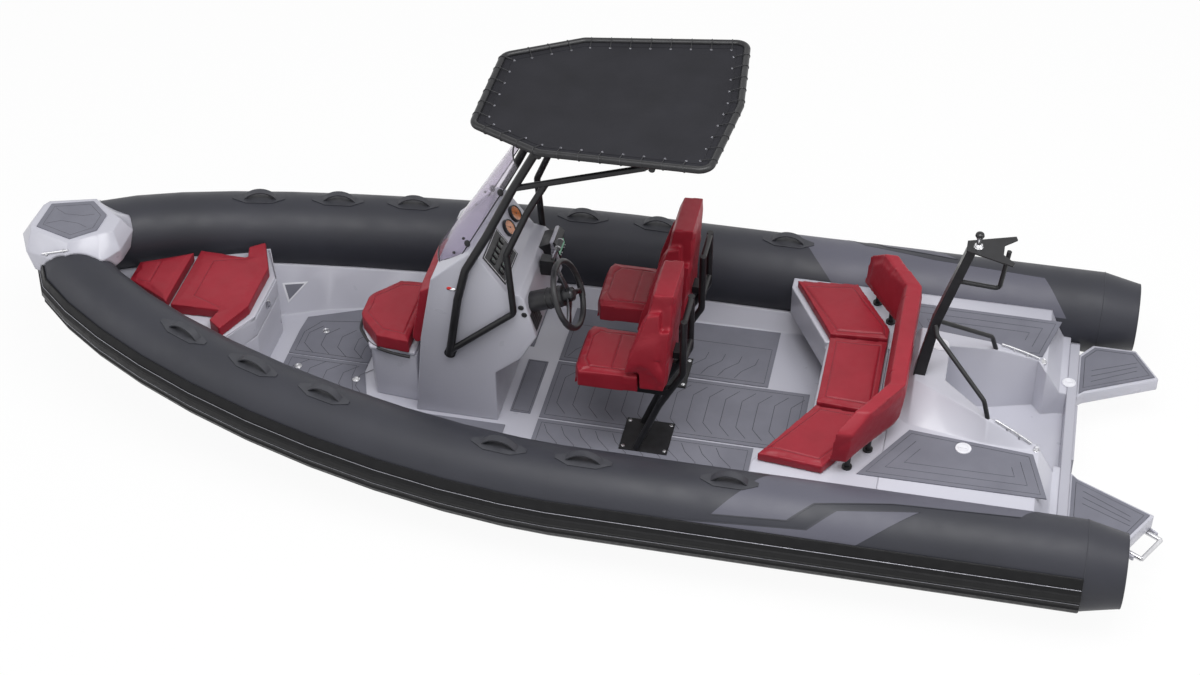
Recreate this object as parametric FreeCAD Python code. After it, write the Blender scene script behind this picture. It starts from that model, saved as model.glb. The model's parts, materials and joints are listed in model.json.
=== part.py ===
import FreeCAD, Part
import math
import os

# Open rigid inflatable boat, about six metres long: deep-V hull, two tubes that meet at the
# bow, console with T-top, twin helm seats, stern sofa, tow mast, swim platforms and ladder.
# Shapes are drawn in millimetres with X forward, Y to port and Z up from the cockpit floor.
# They are lifted when saved, so that the saved Z is zero at the waterline.

floor_above_water = 80.0

# tubes
tube_radius = 222.0
tube_bow_radius = 190.0
tube_offset = 976.0
tube_height = 221.0
tube_curve_start = -35.0
tube_bow_x = 2895.0
tube_bow_rise = 305.0
tube_rise_start = -144.0
tube_rise_power = 1.97
tube_plan_power_x = 1.58
tube_plan_power_y = 1.69
tube_past_transom = 90.0
cone_length = 195.0
cone_end_radius = 181.0
seat_clearance = 0.4
hull_seat_angle = 50.0
liner_seat_angle = 30.0

# rub strake
strake_top_angle = 27.0
strake_bottom_angle = -47.0
strake_thickness = 9.0
strake_rib = 16.0
strake_rib_width = 30.0

# grab handles on the tubes
handle_places = (2011.0, 1597.0, 1192.0, 251.0, -179.0, -902.0)
handle_length = 200.0
handle_width = 40.0
handle_rise = 50.0
webbing = 6.0
patch_length = 285.0
patch_width = 92.0
patch_thickness = 4.0

# hull
transom_thickness = 50.0
transom_top = 205.0
transom_notch_half = 285.0
hull_aft_x = -2480.0
transom_x = hull_aft_x - transom_thickness
clamp_pad_thickness = 12.0
clamp_pad_half = 210.0
tube_aft_x = transom_x - tube_past_transom
keel_depth = 413.0
chine_half = 770.0
chine_height = -72.0
chine_flat = 30.0
spray_rail_width = 38.0
spray_rail_places = (0.40, 0.70)

# cockpit liner
liner_thickness = 24.0
floor_flare = 32.0
bow_flare = 72.0
bow_fine = 150.0
liner_front_x = 2560.0
liner_aft_x = -1600.0

# deck foam
foam = 6.0
foam_gap = 14.0
seam_half = 240.0
pad_front_x = 1700.0
pad_aft_x = -920.0

# bow locker and its cushions
locker_aft_x = 1790.0
locker_front_x = 2545.0
locker_top = 385.0
locker_wall = 22.0
locker_lid = 18.0
bow_cushion = 68.0

# bow step
step_top = 748.0
step_pad = 6.0

# towing eye on the stem
eye_x = 2755.0
eye_z = 85.0
eye_bore = 13.0
eye_rim = 26.0
eye_thick = 12.0

# console
console_half = 300.0

# console front seat
seat_box_front_x = 1215.0
seat_box_half = 235.0
seat_box_top = 318.0
seat_rail = 22.0
front_cushion = 105.0

# windshield
glass = 6.0
shield_half = 265.0

# steering
wheel_radius = 172.0
wheel_rim = 15.0
wheel_tilt = 22.0
wheel_x = 62.0
wheel_y = 215.0
wheel_z = 848.0

# T-top
frame_tube = 24.0
brace_tube = 16.0
frame_half = 330.0
canopy_tube = 17.0
canopy_front_x = 493.0
canopy_front_half = 308.0
canopy_mid_x = 123.0
canopy_mid_half = 497.0
canopy_aft_x = -690.0
canopy_aft_half = 554.0
canopy_tip_x = -745.0
canopy_front_z = 1888.0
canopy_aft_z = 1955.0
canopy_inset = 26.0
canopy_cloth = 5.0

# helm seats
helm_spacing = 270.0
helm_width = 400.0
helm_front_x = -10.0
helm_back_x = -345.0
helm_top = 560.0
helm_cushion = 105.0
helm_back_top = 1085.0
post_tube = 22.0
base_plate = 12.0

# stern sofa
bench_top = 315.0
sofa_cushion = 55.0
sofa_front_x = -1224.0
sofa_wing_x = -987.0
sofa_front_half = 270.0
sofa_hinge_x = -1545.0
sofa_back_half = 400.0
sofa_back_top = 712.0
sofa_back_thick = 85.0
strut_radius = 14.0
bench_wall = 20.0

# stern moulding
side_deck = 345.0
plateau = 468.0
well_floor = 60.0
well_front_x = -1855.0

# tow mast
mast_top = 1290.0
mast_foot_x = -1715.0
tow_pin_height = 70.0

# swim platforms and ladder
platform_top = 190.0
platform_thick = 75.0
platform_pad = 6.0
platform_aft_x = transom_x - 420.0
ladder_tube = 12.0
ladder_span = 176.0
ladder_offset = 30.0
ladder_grip = 45.0
ladder_reach = 330.0

moving_gap = 8.0
turning_gap = 0.3


def vec(x, y, z):
    return FreeCAD.Vector(x, y, z)


def polygon(points):
    return Part.makePolygon([vec(*p) for p in points] + [vec(*points[0])])


def prism(points, push):
    return Part.Face(polygon(points)).extrude(vec(*push))


def slab(outline, z_low, z_high):
    return prism([(x, y, z_low) for x, y in outline], (0, 0, z_high - z_low))


def side_plate(outline, y_low, y_high):
    return prism([(x, y_low, z) for x, z in outline], (0, y_high - y_low, 0))


def box(x_low, x_high, y_low, y_high, z_low, z_high):
    return Part.makeBox(x_high - x_low, y_high - y_low, z_high - z_low, vec(x_low, y_low, z_low))


def rod(start, end, radius):
    a = FreeCAD.Vector(start)
    b = FreeCAD.Vector(end)
    return Part.makeCylinder(radius, (b - a).Length, a, b - a)


def port_and_starboard(shape):
    return shape.mirror(vec(0, 0, 0), vec(0, 1, 0))


def both_sides(outline):
    return list(outline) + [(x, -y) for x, y in reversed(outline) if abs(y) > 1e-6]


def loft(sections, ruled=False):
    return Part.makeLoft([polygon(s) for s in sections], True, ruled)


def fused(shapes):
    first = shapes[0]
    return first.multiFuse(shapes[1:]).removeSplitter() if len(shapes) > 1 else first


def bent_tube(points, radius, bend):
    # straight runs joined by tangent arcs, swept with a round section
    knots = [vec(*p) for p in points]
    edges = []
    here = knots[0]
    for before, corner, after in zip(knots, knots[1:], knots[2:]):
        way_in = (corner - before).normalize()
        way_out = (after - corner).normalize()
        turn = way_in.getAngle(way_out)
        cut = bend * math.tan(turn / 2)
        start = corner - way_in * cut
        end = corner + way_out * cut
        middle = (way_out - way_in).normalize()
        crown = corner + middle * (bend / math.cos(turn / 2) - bend)
        edges.append(Part.LineSegment(here, start).toShape())
        edges.append(Part.Arc(start, crown, end).toShape())
        here = end
    edges.append(Part.LineSegment(here, knots[-1]).toShape())
    path = Part.Wire(edges)
    section = Part.Wire(Part.Circle(knots[0], knots[1] - knots[0], radius).toShape())
    return path.makePipeShell([section], True, True)


def save(name, shape):
    moved = shape.copy()
    moved.translate(vec(0, 0, floor_above_water))
    moved.exportStep("parts/" + name + ".step")
    solids = moved.Solids
    print(name, len(solids), "solids", round(moved.Volume / 1e6, 2), "litres", moved.isValid())


# The tube's centre line: straight aft, then a flattened ellipse in plan that rises to the bow.
# The turn runs from 0, where the curve starts, to 90 degrees at the bow's centreline.

def tube_centre(turn):
    angle = math.radians(turn)
    reach = math.sin(angle) ** (2 / tube_plan_power_x)
    x = tube_curve_start + (tube_bow_x - tube_curve_start) * reach
    y = tube_offset * max(math.cos(angle), 0.0) ** (2 / tube_plan_power_y)
    return vec(x, y, tube_height + rise_at(x))


def rise_at(x):
    share = max(0.0, (x - tube_rise_start) / (tube_bow_x - tube_rise_start))
    return tube_bow_rise * share ** tube_rise_power


def radius_at(x):
    share = max(0.0, (x - tube_curve_start) / (tube_bow_x - tube_curve_start))
    return tube_radius + (tube_bow_radius - tube_radius) * share ** 2


def turn_at(x):
    if x <= tube_curve_start:
        return 0.0
    share = min(1.0, (x - tube_curve_start) / (tube_bow_x - tube_curve_start))
    return math.degrees(math.asin(share ** (tube_plan_power_x / 2)))


def centre_at(x):
    if x <= tube_curve_start:
        return vec(x, tube_offset, tube_height + rise_at(x))
    return tube_centre(turn_at(x))


def direction(turn):
    if turn <= 0:
        return vec(1, 0, 0)
    if turn >= 90:
        return vec(0, -1, 0)
    step = 0.5
    return (tube_centre(min(90, turn + step)) - tube_centre(turn - step)).normalize()


def section_axes(along):
    outward = along.cross(vec(0, 0, 1)).normalize() * -1
    upward = along.cross(outward).normalize()
    if upward.z < 0:
        upward = upward * -1
    return outward, upward


def ring(centre, along, radius):
    outward, upward = section_axes(along)
    frame = FreeCAD.Matrix(outward.x, upward.x, along.x, centre.x,
                           outward.y, upward.y, along.y, centre.y,
                           outward.z, upward.z, along.z, centre.z,
                           0, 0, 0, 1)
    circle = Part.Wire(Part.Circle(vec(0, 0, 0), vec(0, 0, 1), radius).toShape())
    circle.Placement = FreeCAD.Placement(frame)
    return circle


tube_panels = 12
nose_panel = 10


def curved_places():
    # centre, direction and radius of each ring of the curved part, the last panel a longer one
    places = []
    for step in list(range(nose_panel + 1)) + [tube_panels]:
        turn = 90.0 * step / tube_panels
        centre = tube_centre(turn)
        places.append((centre, direction(turn), radius_at(centre.x)))
    return places


def port_side(shape):
    return shape.common(box(-4000, 4000, 0, 2000, -2000, 3000))


def half_tube(grow):
    # a straight cylinder, fabric panels round to the bow's centre line and a tail cone
    tail_x = tube_aft_x - cone_length
    curved = Part.makeLoft([ring(c, a, r + grow) for c, a, r in curved_places()], True, True)
    straight = Part.makeCylinder(tube_radius + grow, tube_curve_start - tube_aft_x,
                                 vec(tube_aft_x, tube_offset, tube_height), vec(1, 0, 0))
    tail = Part.makeCone(cone_end_radius + grow, tube_radius + grow, cone_length,
                         vec(tail_x, tube_offset, tube_height), vec(1, 0, 0))
    return port_side(fused([straight, curved, tail]))


def tube_contact(x, below):
    # the point on the tube's inner side, so many degrees below its middle
    centre = centre_at(x)
    radius = radius_at(x)
    angle = math.radians(below)
    return centre.y - radius * math.cos(angle), centre.z - radius * math.sin(angle)


print("tubes")
tube_port = half_tube(0)
room_port = half_tube(seat_clearance)
tube_room = [room_port, port_and_starboard(room_port)]


def strake_profile(centre, along, radius, extra):
    # two ribs on a flat band that lies on the tube's outer side
    outward, upward = section_axes(along)
    inner = radius + seat_clearance

    def at(angle, height):
        turn = math.radians(angle)
        return centre + (outward * math.cos(turn) + upward * math.sin(turn)) * (inner + height + extra)

    span = strake_top_angle - strake_bottom_angle
    rib = math.degrees(strake_rib_width / radius)
    outline = [at(strake_top_angle, strake_thickness)]
    for middle in (strake_top_angle - 0.36 * span, strake_top_angle - 0.68 * span):
        for turn, height in ((0.75, strake_thickness), (0.5, strake_rib),
                             (-0.5, strake_rib), (-0.75, strake_thickness)):
            outline.append(at(middle + turn * rib, height))
    outline.append(at(strake_bottom_angle, strake_thickness))
    edges = [Part.LineSegment(a, b).toShape() for a, b in zip(outline, outline[1:])]
    low = at(strake_bottom_angle, 0)
    high = at(strake_top_angle, 0)
    seat = Part.Arc(low, at((strake_top_angle + strake_bottom_angle) / 2, 0), high).toShape()
    edges += [Part.LineSegment(outline[-1], low).toShape(), seat,
              Part.LineSegment(high, outline[0]).toShape()]
    return Part.Wire(edges)


def half_strake(extra):
    first = (vec(tube_aft_x, tube_offset, tube_height), vec(1, 0, 0), tube_radius)
    places = [first] + curved_places()
    return Part.makeLoft([strake_profile(c, a, r, extra) for c, a, r in places], True, True)


strake_port = port_side(half_strake(0))
strake_room = half_strake(seat_clearance)


print("handles")


def handle(x):
    centre = centre_at(x)
    along = direction(turn_at(x))
    flat = vec(along.x, along.y, 0).normalize()
    across = vec(-flat.y, flat.x, 0)
    top = centre + vec(0, 0, radius_at(x))
    half = handle_length / 2
    foot = webbing * 1.6
    low = -10.0

    def arch(reach, rise):
        return [top + flat * -reach + vec(0, 0, low), top + vec(0, 0, rise),
                top + flat * reach + vec(0, 0, low)]

    outer = arch(half, handle_rise)
    inner = arch(half - foot, handle_rise - webbing)
    loop = Part.Wire([Part.Arc(*outer).toShape(), Part.LineSegment(outer[2], inner[2]).toShape(),
                      Part.Arc(inner[2], inner[1], inner[0]).toShape(),
                      Part.LineSegment(inner[0], outer[0]).toShape()])
    strap = Part.Face(loop).extrude(across * handle_width)
    strap.translate(across * (-handle_width / 2))
    tips = []
    for reach, width in ((patch_length / 2, 0.25), (patch_length / 4, 1.0),
                         (-patch_length / 4, 1.0), (-patch_length / 2, 0.25)):
        tips.append((reach, width * patch_width / 2))
    ring_points = tips + [(reach, -width) for reach, width in reversed(tips)]
    base = [top + flat * reach + across * width + vec(0, 0, -60) for reach, width in ring_points]
    blank = Part.Face(Part.makePolygon(base + [base[0]])).extrude(vec(0, 0, 90))
    return strap, blank


patch_skin = half_tube(seat_clearance + patch_thickness)
handle_solids = []
for place in handle_places:
    strap, blank = handle(place)
    patch = blank.common(patch_skin).cut(room_port)
    handle_solids.append(patch.fuse(strap.cut(patch_skin)).removeSplitter())
handles_port = Part.makeCompound(handle_solids)


print("hull")


def hull_section(x, keel, chine_y, chine_z, sheer_y, sheer_z):
    half = [(x, sheer_y, sheer_z), (x, chine_y + chine_flat, chine_z - 4),
            (x, chine_y, chine_z)]
    other = [(px, -py, pz) for px, py, pz in reversed(half)]
    return half + [(x, 0, keel)] + other


def hull_sections():
    # each line: x, share of the keel's depth, chine half width and height
    lines = ((hull_aft_x, 1.0, 1.0, 0.0), (-1200.0, 1.0, 1.0, 0.0), (0.0, 1.0, 1.0, 2.0),
             (800.0, 0.98, 0.94, 24.0), (1500.0, 0.87, 0.77, 70.0), (2000.0, 0.65, 0.60, 130.0),
             (2400.0, 0.30, 0.40, 205.0), (2650.0, -0.10, 0.23, 290.0), (2850.0, -0.66, 0.04, 390.0))
    for x, depth, width, lift in lines:
        sheer_y, sheer_z = tube_contact(x, hull_seat_angle)
        inset = 14.0
        yield hull_section(x, -keel_depth * depth, chine_half * width, chine_height + lift,
                           max(sheer_y + inset, 30.0), sheer_z + inset)


def liner_half_width(x):
    y, z = tube_contact(x, liner_seat_angle)
    narrowing = min(1.0, max(0.0, (x - 300.0) / 1000.0))
    fine_bow = min(1.0, max(0.0, (x - 1750.0) / 700.0))
    return y - floor_flare - bow_flare * narrowing - bow_fine * fine_bow, y, z


def liner_form(x_low, x_high, inset, floor):
    places = [x_low] + [x for x in (-800.0, 0.0, 400.0, 800.0, 1200.0, 1600.0, 2000.0, 2350.0)
                        if x_low + 50 < x < x_high - 50] + [x_high]
    sections = []
    for x in places:
        bottom, top_y, top_z = liner_half_width(x)
        bottom = max(bottom - inset, 12.0)
        top = top_y - inset
        rise = 10.0 if inset > 0 else 6.0
        out = rise / math.tan(math.radians(55))
        sections.append([(x, bottom, floor), (x, top + out, top_z + rise),
                         (x, -top - out, top_z + rise), (x, -bottom, floor)])
    return loft(sections, True)


liner_outer = liner_form(liner_aft_x, liner_front_x, 0.0, -liner_thickness)
liner_inner = liner_form(liner_aft_x - 10, liner_front_x - liner_thickness, liner_thickness, 0.0)
liner = liner_outer.cut(liner_inner).cut(tube_room)

hull_form = loft(list(hull_sections()), False)
spray_rails = []
for share in spray_rail_places:
    rail = []
    for section in list(hull_sections())[:7]:
        x, chine_y, chine_z = section[2]
        keel = section[3][2]
        y = chine_y * share
        z = keel + (chine_z - keel) * share
        half = spray_rail_width / 2 * chine_y / chine_half
        slope = (chine_z - keel) / chine_y
        rail.append([(x, y - half, z + 12), (x, y - half, z - half * slope - 1),
                     (x, y + half, z - half * slope - 1), (x, y + half, z + half * slope + 12)])
    spray_rails.append(loft(rail, False))
    spray_rails.append(port_and_starboard(spray_rails[-1]))
stern_room = box(hull_aft_x - 10, liner_aft_x, -chine_half * 2, chine_half * 2,
                 -liner_thickness, plateau)
hull = hull_form.fuse(spray_rails).cut(liner_outer).cut(stern_room).cut(tube_room)
hull = max(hull.Solids, key=lambda solid: solid.Volume)


print("stern moulding")


def across(x, outline):
    return [(x, y, z) for y, z in outline]


def widest_block(x_low, x_high, z_low, z_high):
    return box(x_low, x_high, -tube_offset, tube_offset, z_low, z_high)


def hull_side(x_low, x_high):
    # room inside the hull's topsides below the tubes' seat
    y, z = tube_contact(x_low, hull_seat_angle)
    return box(x_low, x_high, -y, y, -liner_thickness, side_deck)


stern_low = hull_side(hull_aft_x, liner_aft_x)
stern_high = widest_block(hull_aft_x, liner_aft_x, tube_height - 30, side_deck)
crown = loft([across(liner_aft_x - 20, ((340, side_deck - 30), (60, side_deck + 4),
                                        (-380, side_deck + 4), (-400, side_deck - 30))),
              across(-1700, ((330, side_deck - 30), (70, plateau),
                             (-352, plateau), (-440, side_deck - 30))),
              across(-2087, ((362, side_deck - 30), (289, plateau - 12),
                             (-318, plateau - 12), (-400, side_deck - 30))),
              across(-2345, ((388, side_deck - 30), (335, side_deck + 5),
                             (-345, side_deck + 5), (-388, side_deck - 30)))], True)
wing_x = hull_aft_x + 120
notch_x = hull_aft_x + 40
well_outline = ((well_front_x, -236), (well_front_x, 40), (-2087, 262), (-2312, 306),
                (wing_x, 300), (wing_x, 330), (notch_x, 330), (notch_x, transom_notch_half),
                (hull_aft_x - 20, transom_notch_half), (hull_aft_x - 20, -transom_notch_half),
                (notch_x, -transom_notch_half), (wing_x, -262), (-2312, -330), (-2087, -262))
well = slab(well_outline, well_floor, plateau + 50)
stern_deck = stern_low.fuse([stern_high, crown]).cut(well).cut(tube_room)
wing_cut = prism([(wing_x, -900, side_deck + 1), (wing_x, -900, side_deck + 200),
                  (hull_aft_x - 120, -900, side_deck + 200), (hull_aft_x - 120, -900, transom_top - 15),
                  (notch_x, -900, transom_top)], (0, 1800, 0))
stern_deck = stern_deck.cut(wing_cut).removeSplitter()
stern_deck = max(stern_deck.Solids, key=lambda solid: solid.Volume)
transom_outline = [(0, -keel_depth), (chine_half, chine_height), (chine_half + chine_flat, chine_height),
                   (790, transom_top - 60), (700, transom_top), (transom_notch_half + 40, transom_top),
                   (transom_notch_half + 20, transom_top), (0, transom_top)]
transom_points = [(transom_x, y, z) for y, z in transom_outline[:-1]]
transom_points += [(transom_x, -y, z) for y, z in reversed(transom_outline[1:-1])]
transom = prism(transom_points, (transom_thickness, 0, 0)).cut(tube_room)
clamp_pad = box(transom_x - clamp_pad_thickness, transom_x, -clamp_pad_half, clamp_pad_half,
                -60.0, transom_top - 10)
transom = transom.fuse(clamp_pad)


print("stern bench")
bench_outline = [(liner_aft_x, tube_offset), (sofa_wing_x + 20, tube_offset), (sofa_wing_x + 20, 705),
                 (sofa_front_x + 10, sofa_front_half - 8)]
bench_plan = both_sides(bench_outline)
bench_high = slab(bench_plan, tube_height - 60, side_deck)
bench_low = slab(bench_plan, 0.0, side_deck).common(liner_inner)
locker_half = sofa_front_half - 20
locker_room = box(sofa_hinge_x + 15, sofa_front_x - bench_wall, -locker_half, locker_half,
                  40.0, side_deck + 10)
lid_outline = both_sides([(sofa_hinge_x + 4, sofa_front_half + 18), (sofa_front_x + 8, sofa_front_half)])
lid_room = slab(both_sides([(sofa_hinge_x + 2, sofa_front_half + 24), (sofa_front_x + 40, sofa_front_half + 6)]),
                bench_top, side_deck + 10)
stern_bench = bench_low.fuse(bench_high).cut(locker_room).cut(lid_room).cut(tube_room).removeSplitter()
stern_bench = max(stern_bench.Solids, key=lambda solid: solid.Volume)
sofa_lid = slab(lid_outline, bench_top + 0.5, side_deck)
sofa_middle = slab(both_sides([(sofa_hinge_x + 6, 292), (sofa_front_x, sofa_front_half)]),
                   side_deck, side_deck + sofa_cushion)
wing_cushion = slab([(sofa_front_x, sofa_front_half + moving_gap), (sofa_wing_x, 708), (-1325, 745),
                     (-1540, 392), (sofa_hinge_x + 6, 292 + moving_gap)],
                    side_deck, side_deck + sofa_cushion)
back_low = side_deck + sofa_cushion + 28


def back_section(front_low, front_high, y, z_top):
    rear = sofa_back_thick
    return [(front_low, y, back_low), (front_high, y, z_top),
            (front_high - rear, y, z_top), (front_low - rear, y, back_low)]


back_middle = loft([back_section(sofa_hinge_x - 12, -1595, -sofa_back_half, sofa_back_top),
                    back_section(sofa_hinge_x - 12, -1595, sofa_back_half, sofa_back_top)], True)
back_wing = loft([back_section(sofa_hinge_x - 12, -1595, sofa_back_half, sofa_back_top),
                  back_section(-1395, -1445, 640, sofa_back_top - 4),
                  back_section(-1345, -1365, 722, sofa_back_top - 95)], True)
sofa_back = fused([back_middle, back_wing, port_and_starboard(back_wing)])
strut_feet = ((-1583, 294), (-1524, 511), (-1439, 658))
struts = []
for x, y in strut_feet:
    foot = rod((x, y, side_deck), (x, y, side_deck + 12), strut_radius * 1.8)
    post = rod((x, y, side_deck + 6), (x - 4, y, back_low), strut_radius)
    struts.append(foot.fuse(post))
struts += [port_and_starboard(shape) for shape in struts]
sofa_struts = Part.makeCompound([strut.cut(sofa_back) for strut in struts])


print("bow")


def bow_half(x, clearance):
    # half width between the tubes' inner sides at the cushions' level
    centre = centre_at(x)
    radius = radius_at(x)
    rise = max(-radius * 0.9, min(radius * 0.9, locker_top + bow_cushion / 2 - centre.z))
    return centre.y - math.sqrt(radius ** 2 - min(rise ** 2, (radius * 0.3) ** 2)) - clearance


locker_aft_line = [(locker_aft_x, 0.0), (locker_aft_x, 175.0), (1905.0, 400.0)]
locker_side = [(x, bow_half(x, 12.0)) for x in (2050.0, 2200.0, 2350.0, 2450.0, locker_front_x)]
locker_plan = both_sides(locker_aft_line[1:] + locker_side)
bow_block = slab(both_sides([(locker_aft_x, 175.0), (1905.0, 420.0), (1905.0, 800.0), (locker_front_x, 800.0)]),
                 0.0, locker_top).common(
    liner_inner.fuse(slab(both_sides([(locker_aft_x - 5, 700.0), (locker_front_x, 700.0)]),
                          260.0, locker_top)))
bow_block = bow_block.cut(tube_room + [liner, hull])
locker_inner = slab(both_sides([(locker_aft_x + locker_wall, 120.0), (1960.0, 330.0),
                                (2200.0, 215.0), (2400.0, 120.0), (2480.0, 60.0)]),
                    60.0, locker_top + 5)
lid_rebate = slab(locker_plan, locker_top - locker_lid, locker_top + 5)
bow_locker = bow_block.cut(locker_inner).cut(lid_rebate)
bow_locker = max(bow_locker.Solids, key=lambda solid: solid.Volume)
# the lid stays clear of the tubes that close in over it while it swings up
lid_side = [(2000.0, 358.0), (2100.0, 322.0), (2200.0, 280.0), (2300.0, 232.0), (2400.0, 168.0),
            (2450.0, 148.0), (2525.0, 138.0)]
bow_lid = slab(both_sides([(locker_aft_x + 4, 170.0), (1908.0, 388.0)] + lid_side),
               locker_top - locker_lid + 0.5, locker_top)
fore_cushion = slab(both_sides([(2262.0, 225.0), (2400.0, 152.0), (2536.0, 82.0)]),
                    locker_top, locker_top + bow_cushion)
aft_cushion = slab(both_sides([(1815.0, 171.0), (1905.0, 385.0), (1985.0, 330.0),
                               (1966.0, 241.0), (2246.0, 245.0)]),
                   locker_top, locker_top + bow_cushion)


def step_ring(z, points):
    return [(x, y, z) for x, y in both_sides(points)]


bow_step = loft([step_ring(step_top - 190, ((2560, 60), (2600, 190), (2800, 285), (2990, 225), (3105, 70))),
                 step_ring(step_top - 95, ((2545, 90), (2610, 215), (2790, 268), (3035, 200), (3115, 60))),
                 step_ring(step_top, ((2585, 55), (2655, 100), (2782, 200), (3022, 128), (3042, 90)))],
                True).cut(tube_room + [strake_room, port_and_starboard(strake_room)])
bow_step = bow_step.cut([strake_port, port_and_starboard(strake_port)])
bow_step = max(bow_step.Solids, key=lambda solid: solid.Volume)
bow_pad = slab(both_sides([(2671, 69), (2785, 171), (3000, 102)]), step_top, step_top + step_pad)
eye_plate = side_plate(((2600, 20), (2700, 20), (eye_x, eye_z - eye_rim), (eye_x, eye_z + eye_rim),
                        (2700, 150)), -eye_thick / 2, eye_thick / 2)
eye_ring = Part.makeCylinder(eye_rim, eye_thick, vec(eye_x, -eye_thick / 2, eye_z), vec(0, 1, 0))
eye_hole = Part.makeCylinder(eye_bore, eye_thick * 2, vec(eye_x, -eye_thick, eye_z), vec(0, 1, 0))
bow_eye = eye_plate.fuse(eye_ring).cut([hull, eye_hole]).removeSplitter()
bow_eye = max(bow_eye.Solids, key=lambda solid: solid.Volume)


print("console")
console_profile = ((885, 0), (835, 500), (760, 900), (560, 1090), (505, 1072), (362, 877),
                   (300, 866), (272, 840), (214, 608), (300, 450), (440, 330), (440, 0))
console = side_plate(console_profile, -console_half, console_half)
dash_slope = math.atan2(1072 - 877, 505 - 362)
dash_face = vec(-math.sin(dash_slope), 0, math.cos(dash_slope))


def on_dash(x):
    return 877 + (x - 362) * (1072 - 877) / (505 - 362)


def dash_plate(x_low, x_high, y_low, y_high, proud):
    low = vec(x_low, y_low, on_dash(x_low))
    high = vec(x_high, y_low, on_dash(x_high))
    face = Part.Face(Part.makePolygon([low, high, high + vec(0, y_high - y_low, 0),
                                       low + vec(0, y_high - y_low, 0), low]))
    return face.extrude(dash_face * proud)


switch_panel = dash_plate(378, 490, 5, 265, 4)
gauges = []
for y in (-80.0, -205.0):
    middle = vec(445, y, on_dash(445))
    gauges.append(Part.makeCylinder(46, 14, middle, dash_face))
gauges = Part.makeCompound(gauges)

shield_sections = []
for z_share, half_low in ((0.0, shield_half), (0.5, shield_half * 0.9), (1.0, shield_half * 0.78)):
    x_mid = 790 - 420 * z_share
    z_mid = 900 + 690 * z_share
    sweep = 110 - 45 * z_share
    shield_sections.append((x_mid, z_mid, half_low, sweep))


def shield_wire(x_mid, z_mid, half, sweep, inward):
    side = vec(x_mid - sweep, half - inward * 0.5, z_mid)
    front = vec(x_mid - inward, 0, z_mid)
    other = vec(x_mid - sweep, -half + inward * 0.5, z_mid)
    return Part.Arc(side, front, other).toShape()


def shield_solid():
    rings = []
    for x_mid, z_mid, half, sweep in shield_sections:
        outer = shield_wire(x_mid, z_mid, half, sweep, 0)
        inner = shield_wire(x_mid, z_mid, half, sweep, glass)
        a, b = outer.Vertexes[0].Point, outer.Vertexes[-1].Point
        c, d = inner.Vertexes[0].Point, inner.Vertexes[-1].Point
        rings.append(Part.Wire([outer, Part.LineSegment(b, d).toShape(), inner,
                                Part.LineSegment(c, a).toShape()]))
    return Part.makeLoft(rings, True, True)


windshield = shield_solid()
windshield = windshield.cut(console)

wheel_centre = vec(wheel_x, wheel_y, wheel_z)
lean = math.radians(wheel_tilt)
column = vec(-math.cos(lean), 0, math.sin(lean))
wheel_up = vec(math.sin(lean), 0, math.cos(lean))
rim = Part.makeTorus(wheel_radius, wheel_rim, wheel_centre, column)
spokes = []
for turn in (90.0, 210.0, 330.0):
    angle = math.radians(turn)
    reach = wheel_up * math.sin(angle) + vec(0, 1, 0) * math.cos(angle)
    end = wheel_centre + reach * (wheel_radius - 4)
    spokes.append(Part.makeCylinder(9, (end - wheel_centre).Length, wheel_centre, reach))
boss = Part.makeCylinder(36, 46, wheel_centre - column * 23, column)
steering_wheel = fused([rim, boss] + spokes)
hub_length = 100.0
hub_start = wheel_centre - column * (23 + turning_gap + hub_length + 90)
steering_hub = Part.makeCylinder(54, hub_length + 90, hub_start, column).cut(console)
steering_hub = max(steering_hub.Solids, key=lambda solid: solid.CenterOfMass.x * -1)
throttle_base = box(190, 262, -60, 0, 780, 870)
throttle = fused([throttle_base.cut(console), rod((205, -30, 860), (165, -30, 965), 9),
                  rod((165, -62, 965), (165, 2, 965), 15)])
screen = side_plate(((265, 768), (205, 790), (190, 880), (214, 905), (300, 860)), -262, -120).cut(console)
screen = max(screen.Solids, key=lambda solid: solid.Volume)

seat_box_outline = [(seat_box_front_x - 30, 90), (seat_box_front_x - 90, seat_box_half - 20),
                    (886, seat_box_half)]
seat_box = slab(both_sides(seat_box_outline), 0, seat_box_top)
seat_inside = slab(both_sides([(seat_box_front_x - 52, 78), (seat_box_front_x - 105, seat_box_half - 42),
                               (906, seat_box_half - 22)]), 20, seat_box_top + 1)
console_seat_box = seat_box.cut(seat_inside)
lid_seat = slab(both_sides([(seat_box_front_x, 95), (seat_box_front_x - 75, seat_box_half),
                            (892, seat_box_half + 4)]), seat_box_top + 0.5, seat_box_top + seat_rail)
front_seat_low = seat_box_top + seat_rail
front_cushion_solid = slab(both_sides([(1238, 70), (1218, 110), (1100, 245), (915, 262)]),
                           front_seat_low, front_seat_low + front_cushion - 15)
front_back = side_plate(((885, 400), (905, 430), (845, 760), (770, 800), (765, 780), (838, 420)), -235, 235)
front_back = front_back.cut(console)
front_back = max(front_back.Solids, key=lambda solid: solid.Volume)


print("T-top")
canopy_corners = [(canopy_front_x, canopy_front_half, canopy_front_z),
                  (canopy_mid_x, canopy_mid_half, canopy_front_z + 15),
                  (canopy_aft_x, canopy_aft_half, canopy_aft_z)]


def canopy_ring(inset, lower):
    port = [(x - inset * 0.4 if x > 0 else x + inset * 0.4, y - inset * 0.9, z - lower)
            for x, y, z in canopy_corners]
    tip = [(canopy_tip_x + inset, 0.0, canopy_aft_z - lower)]
    starboard = [(x, -y, z) for x, y, z in reversed(port)]
    return port + tip + starboard


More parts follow.
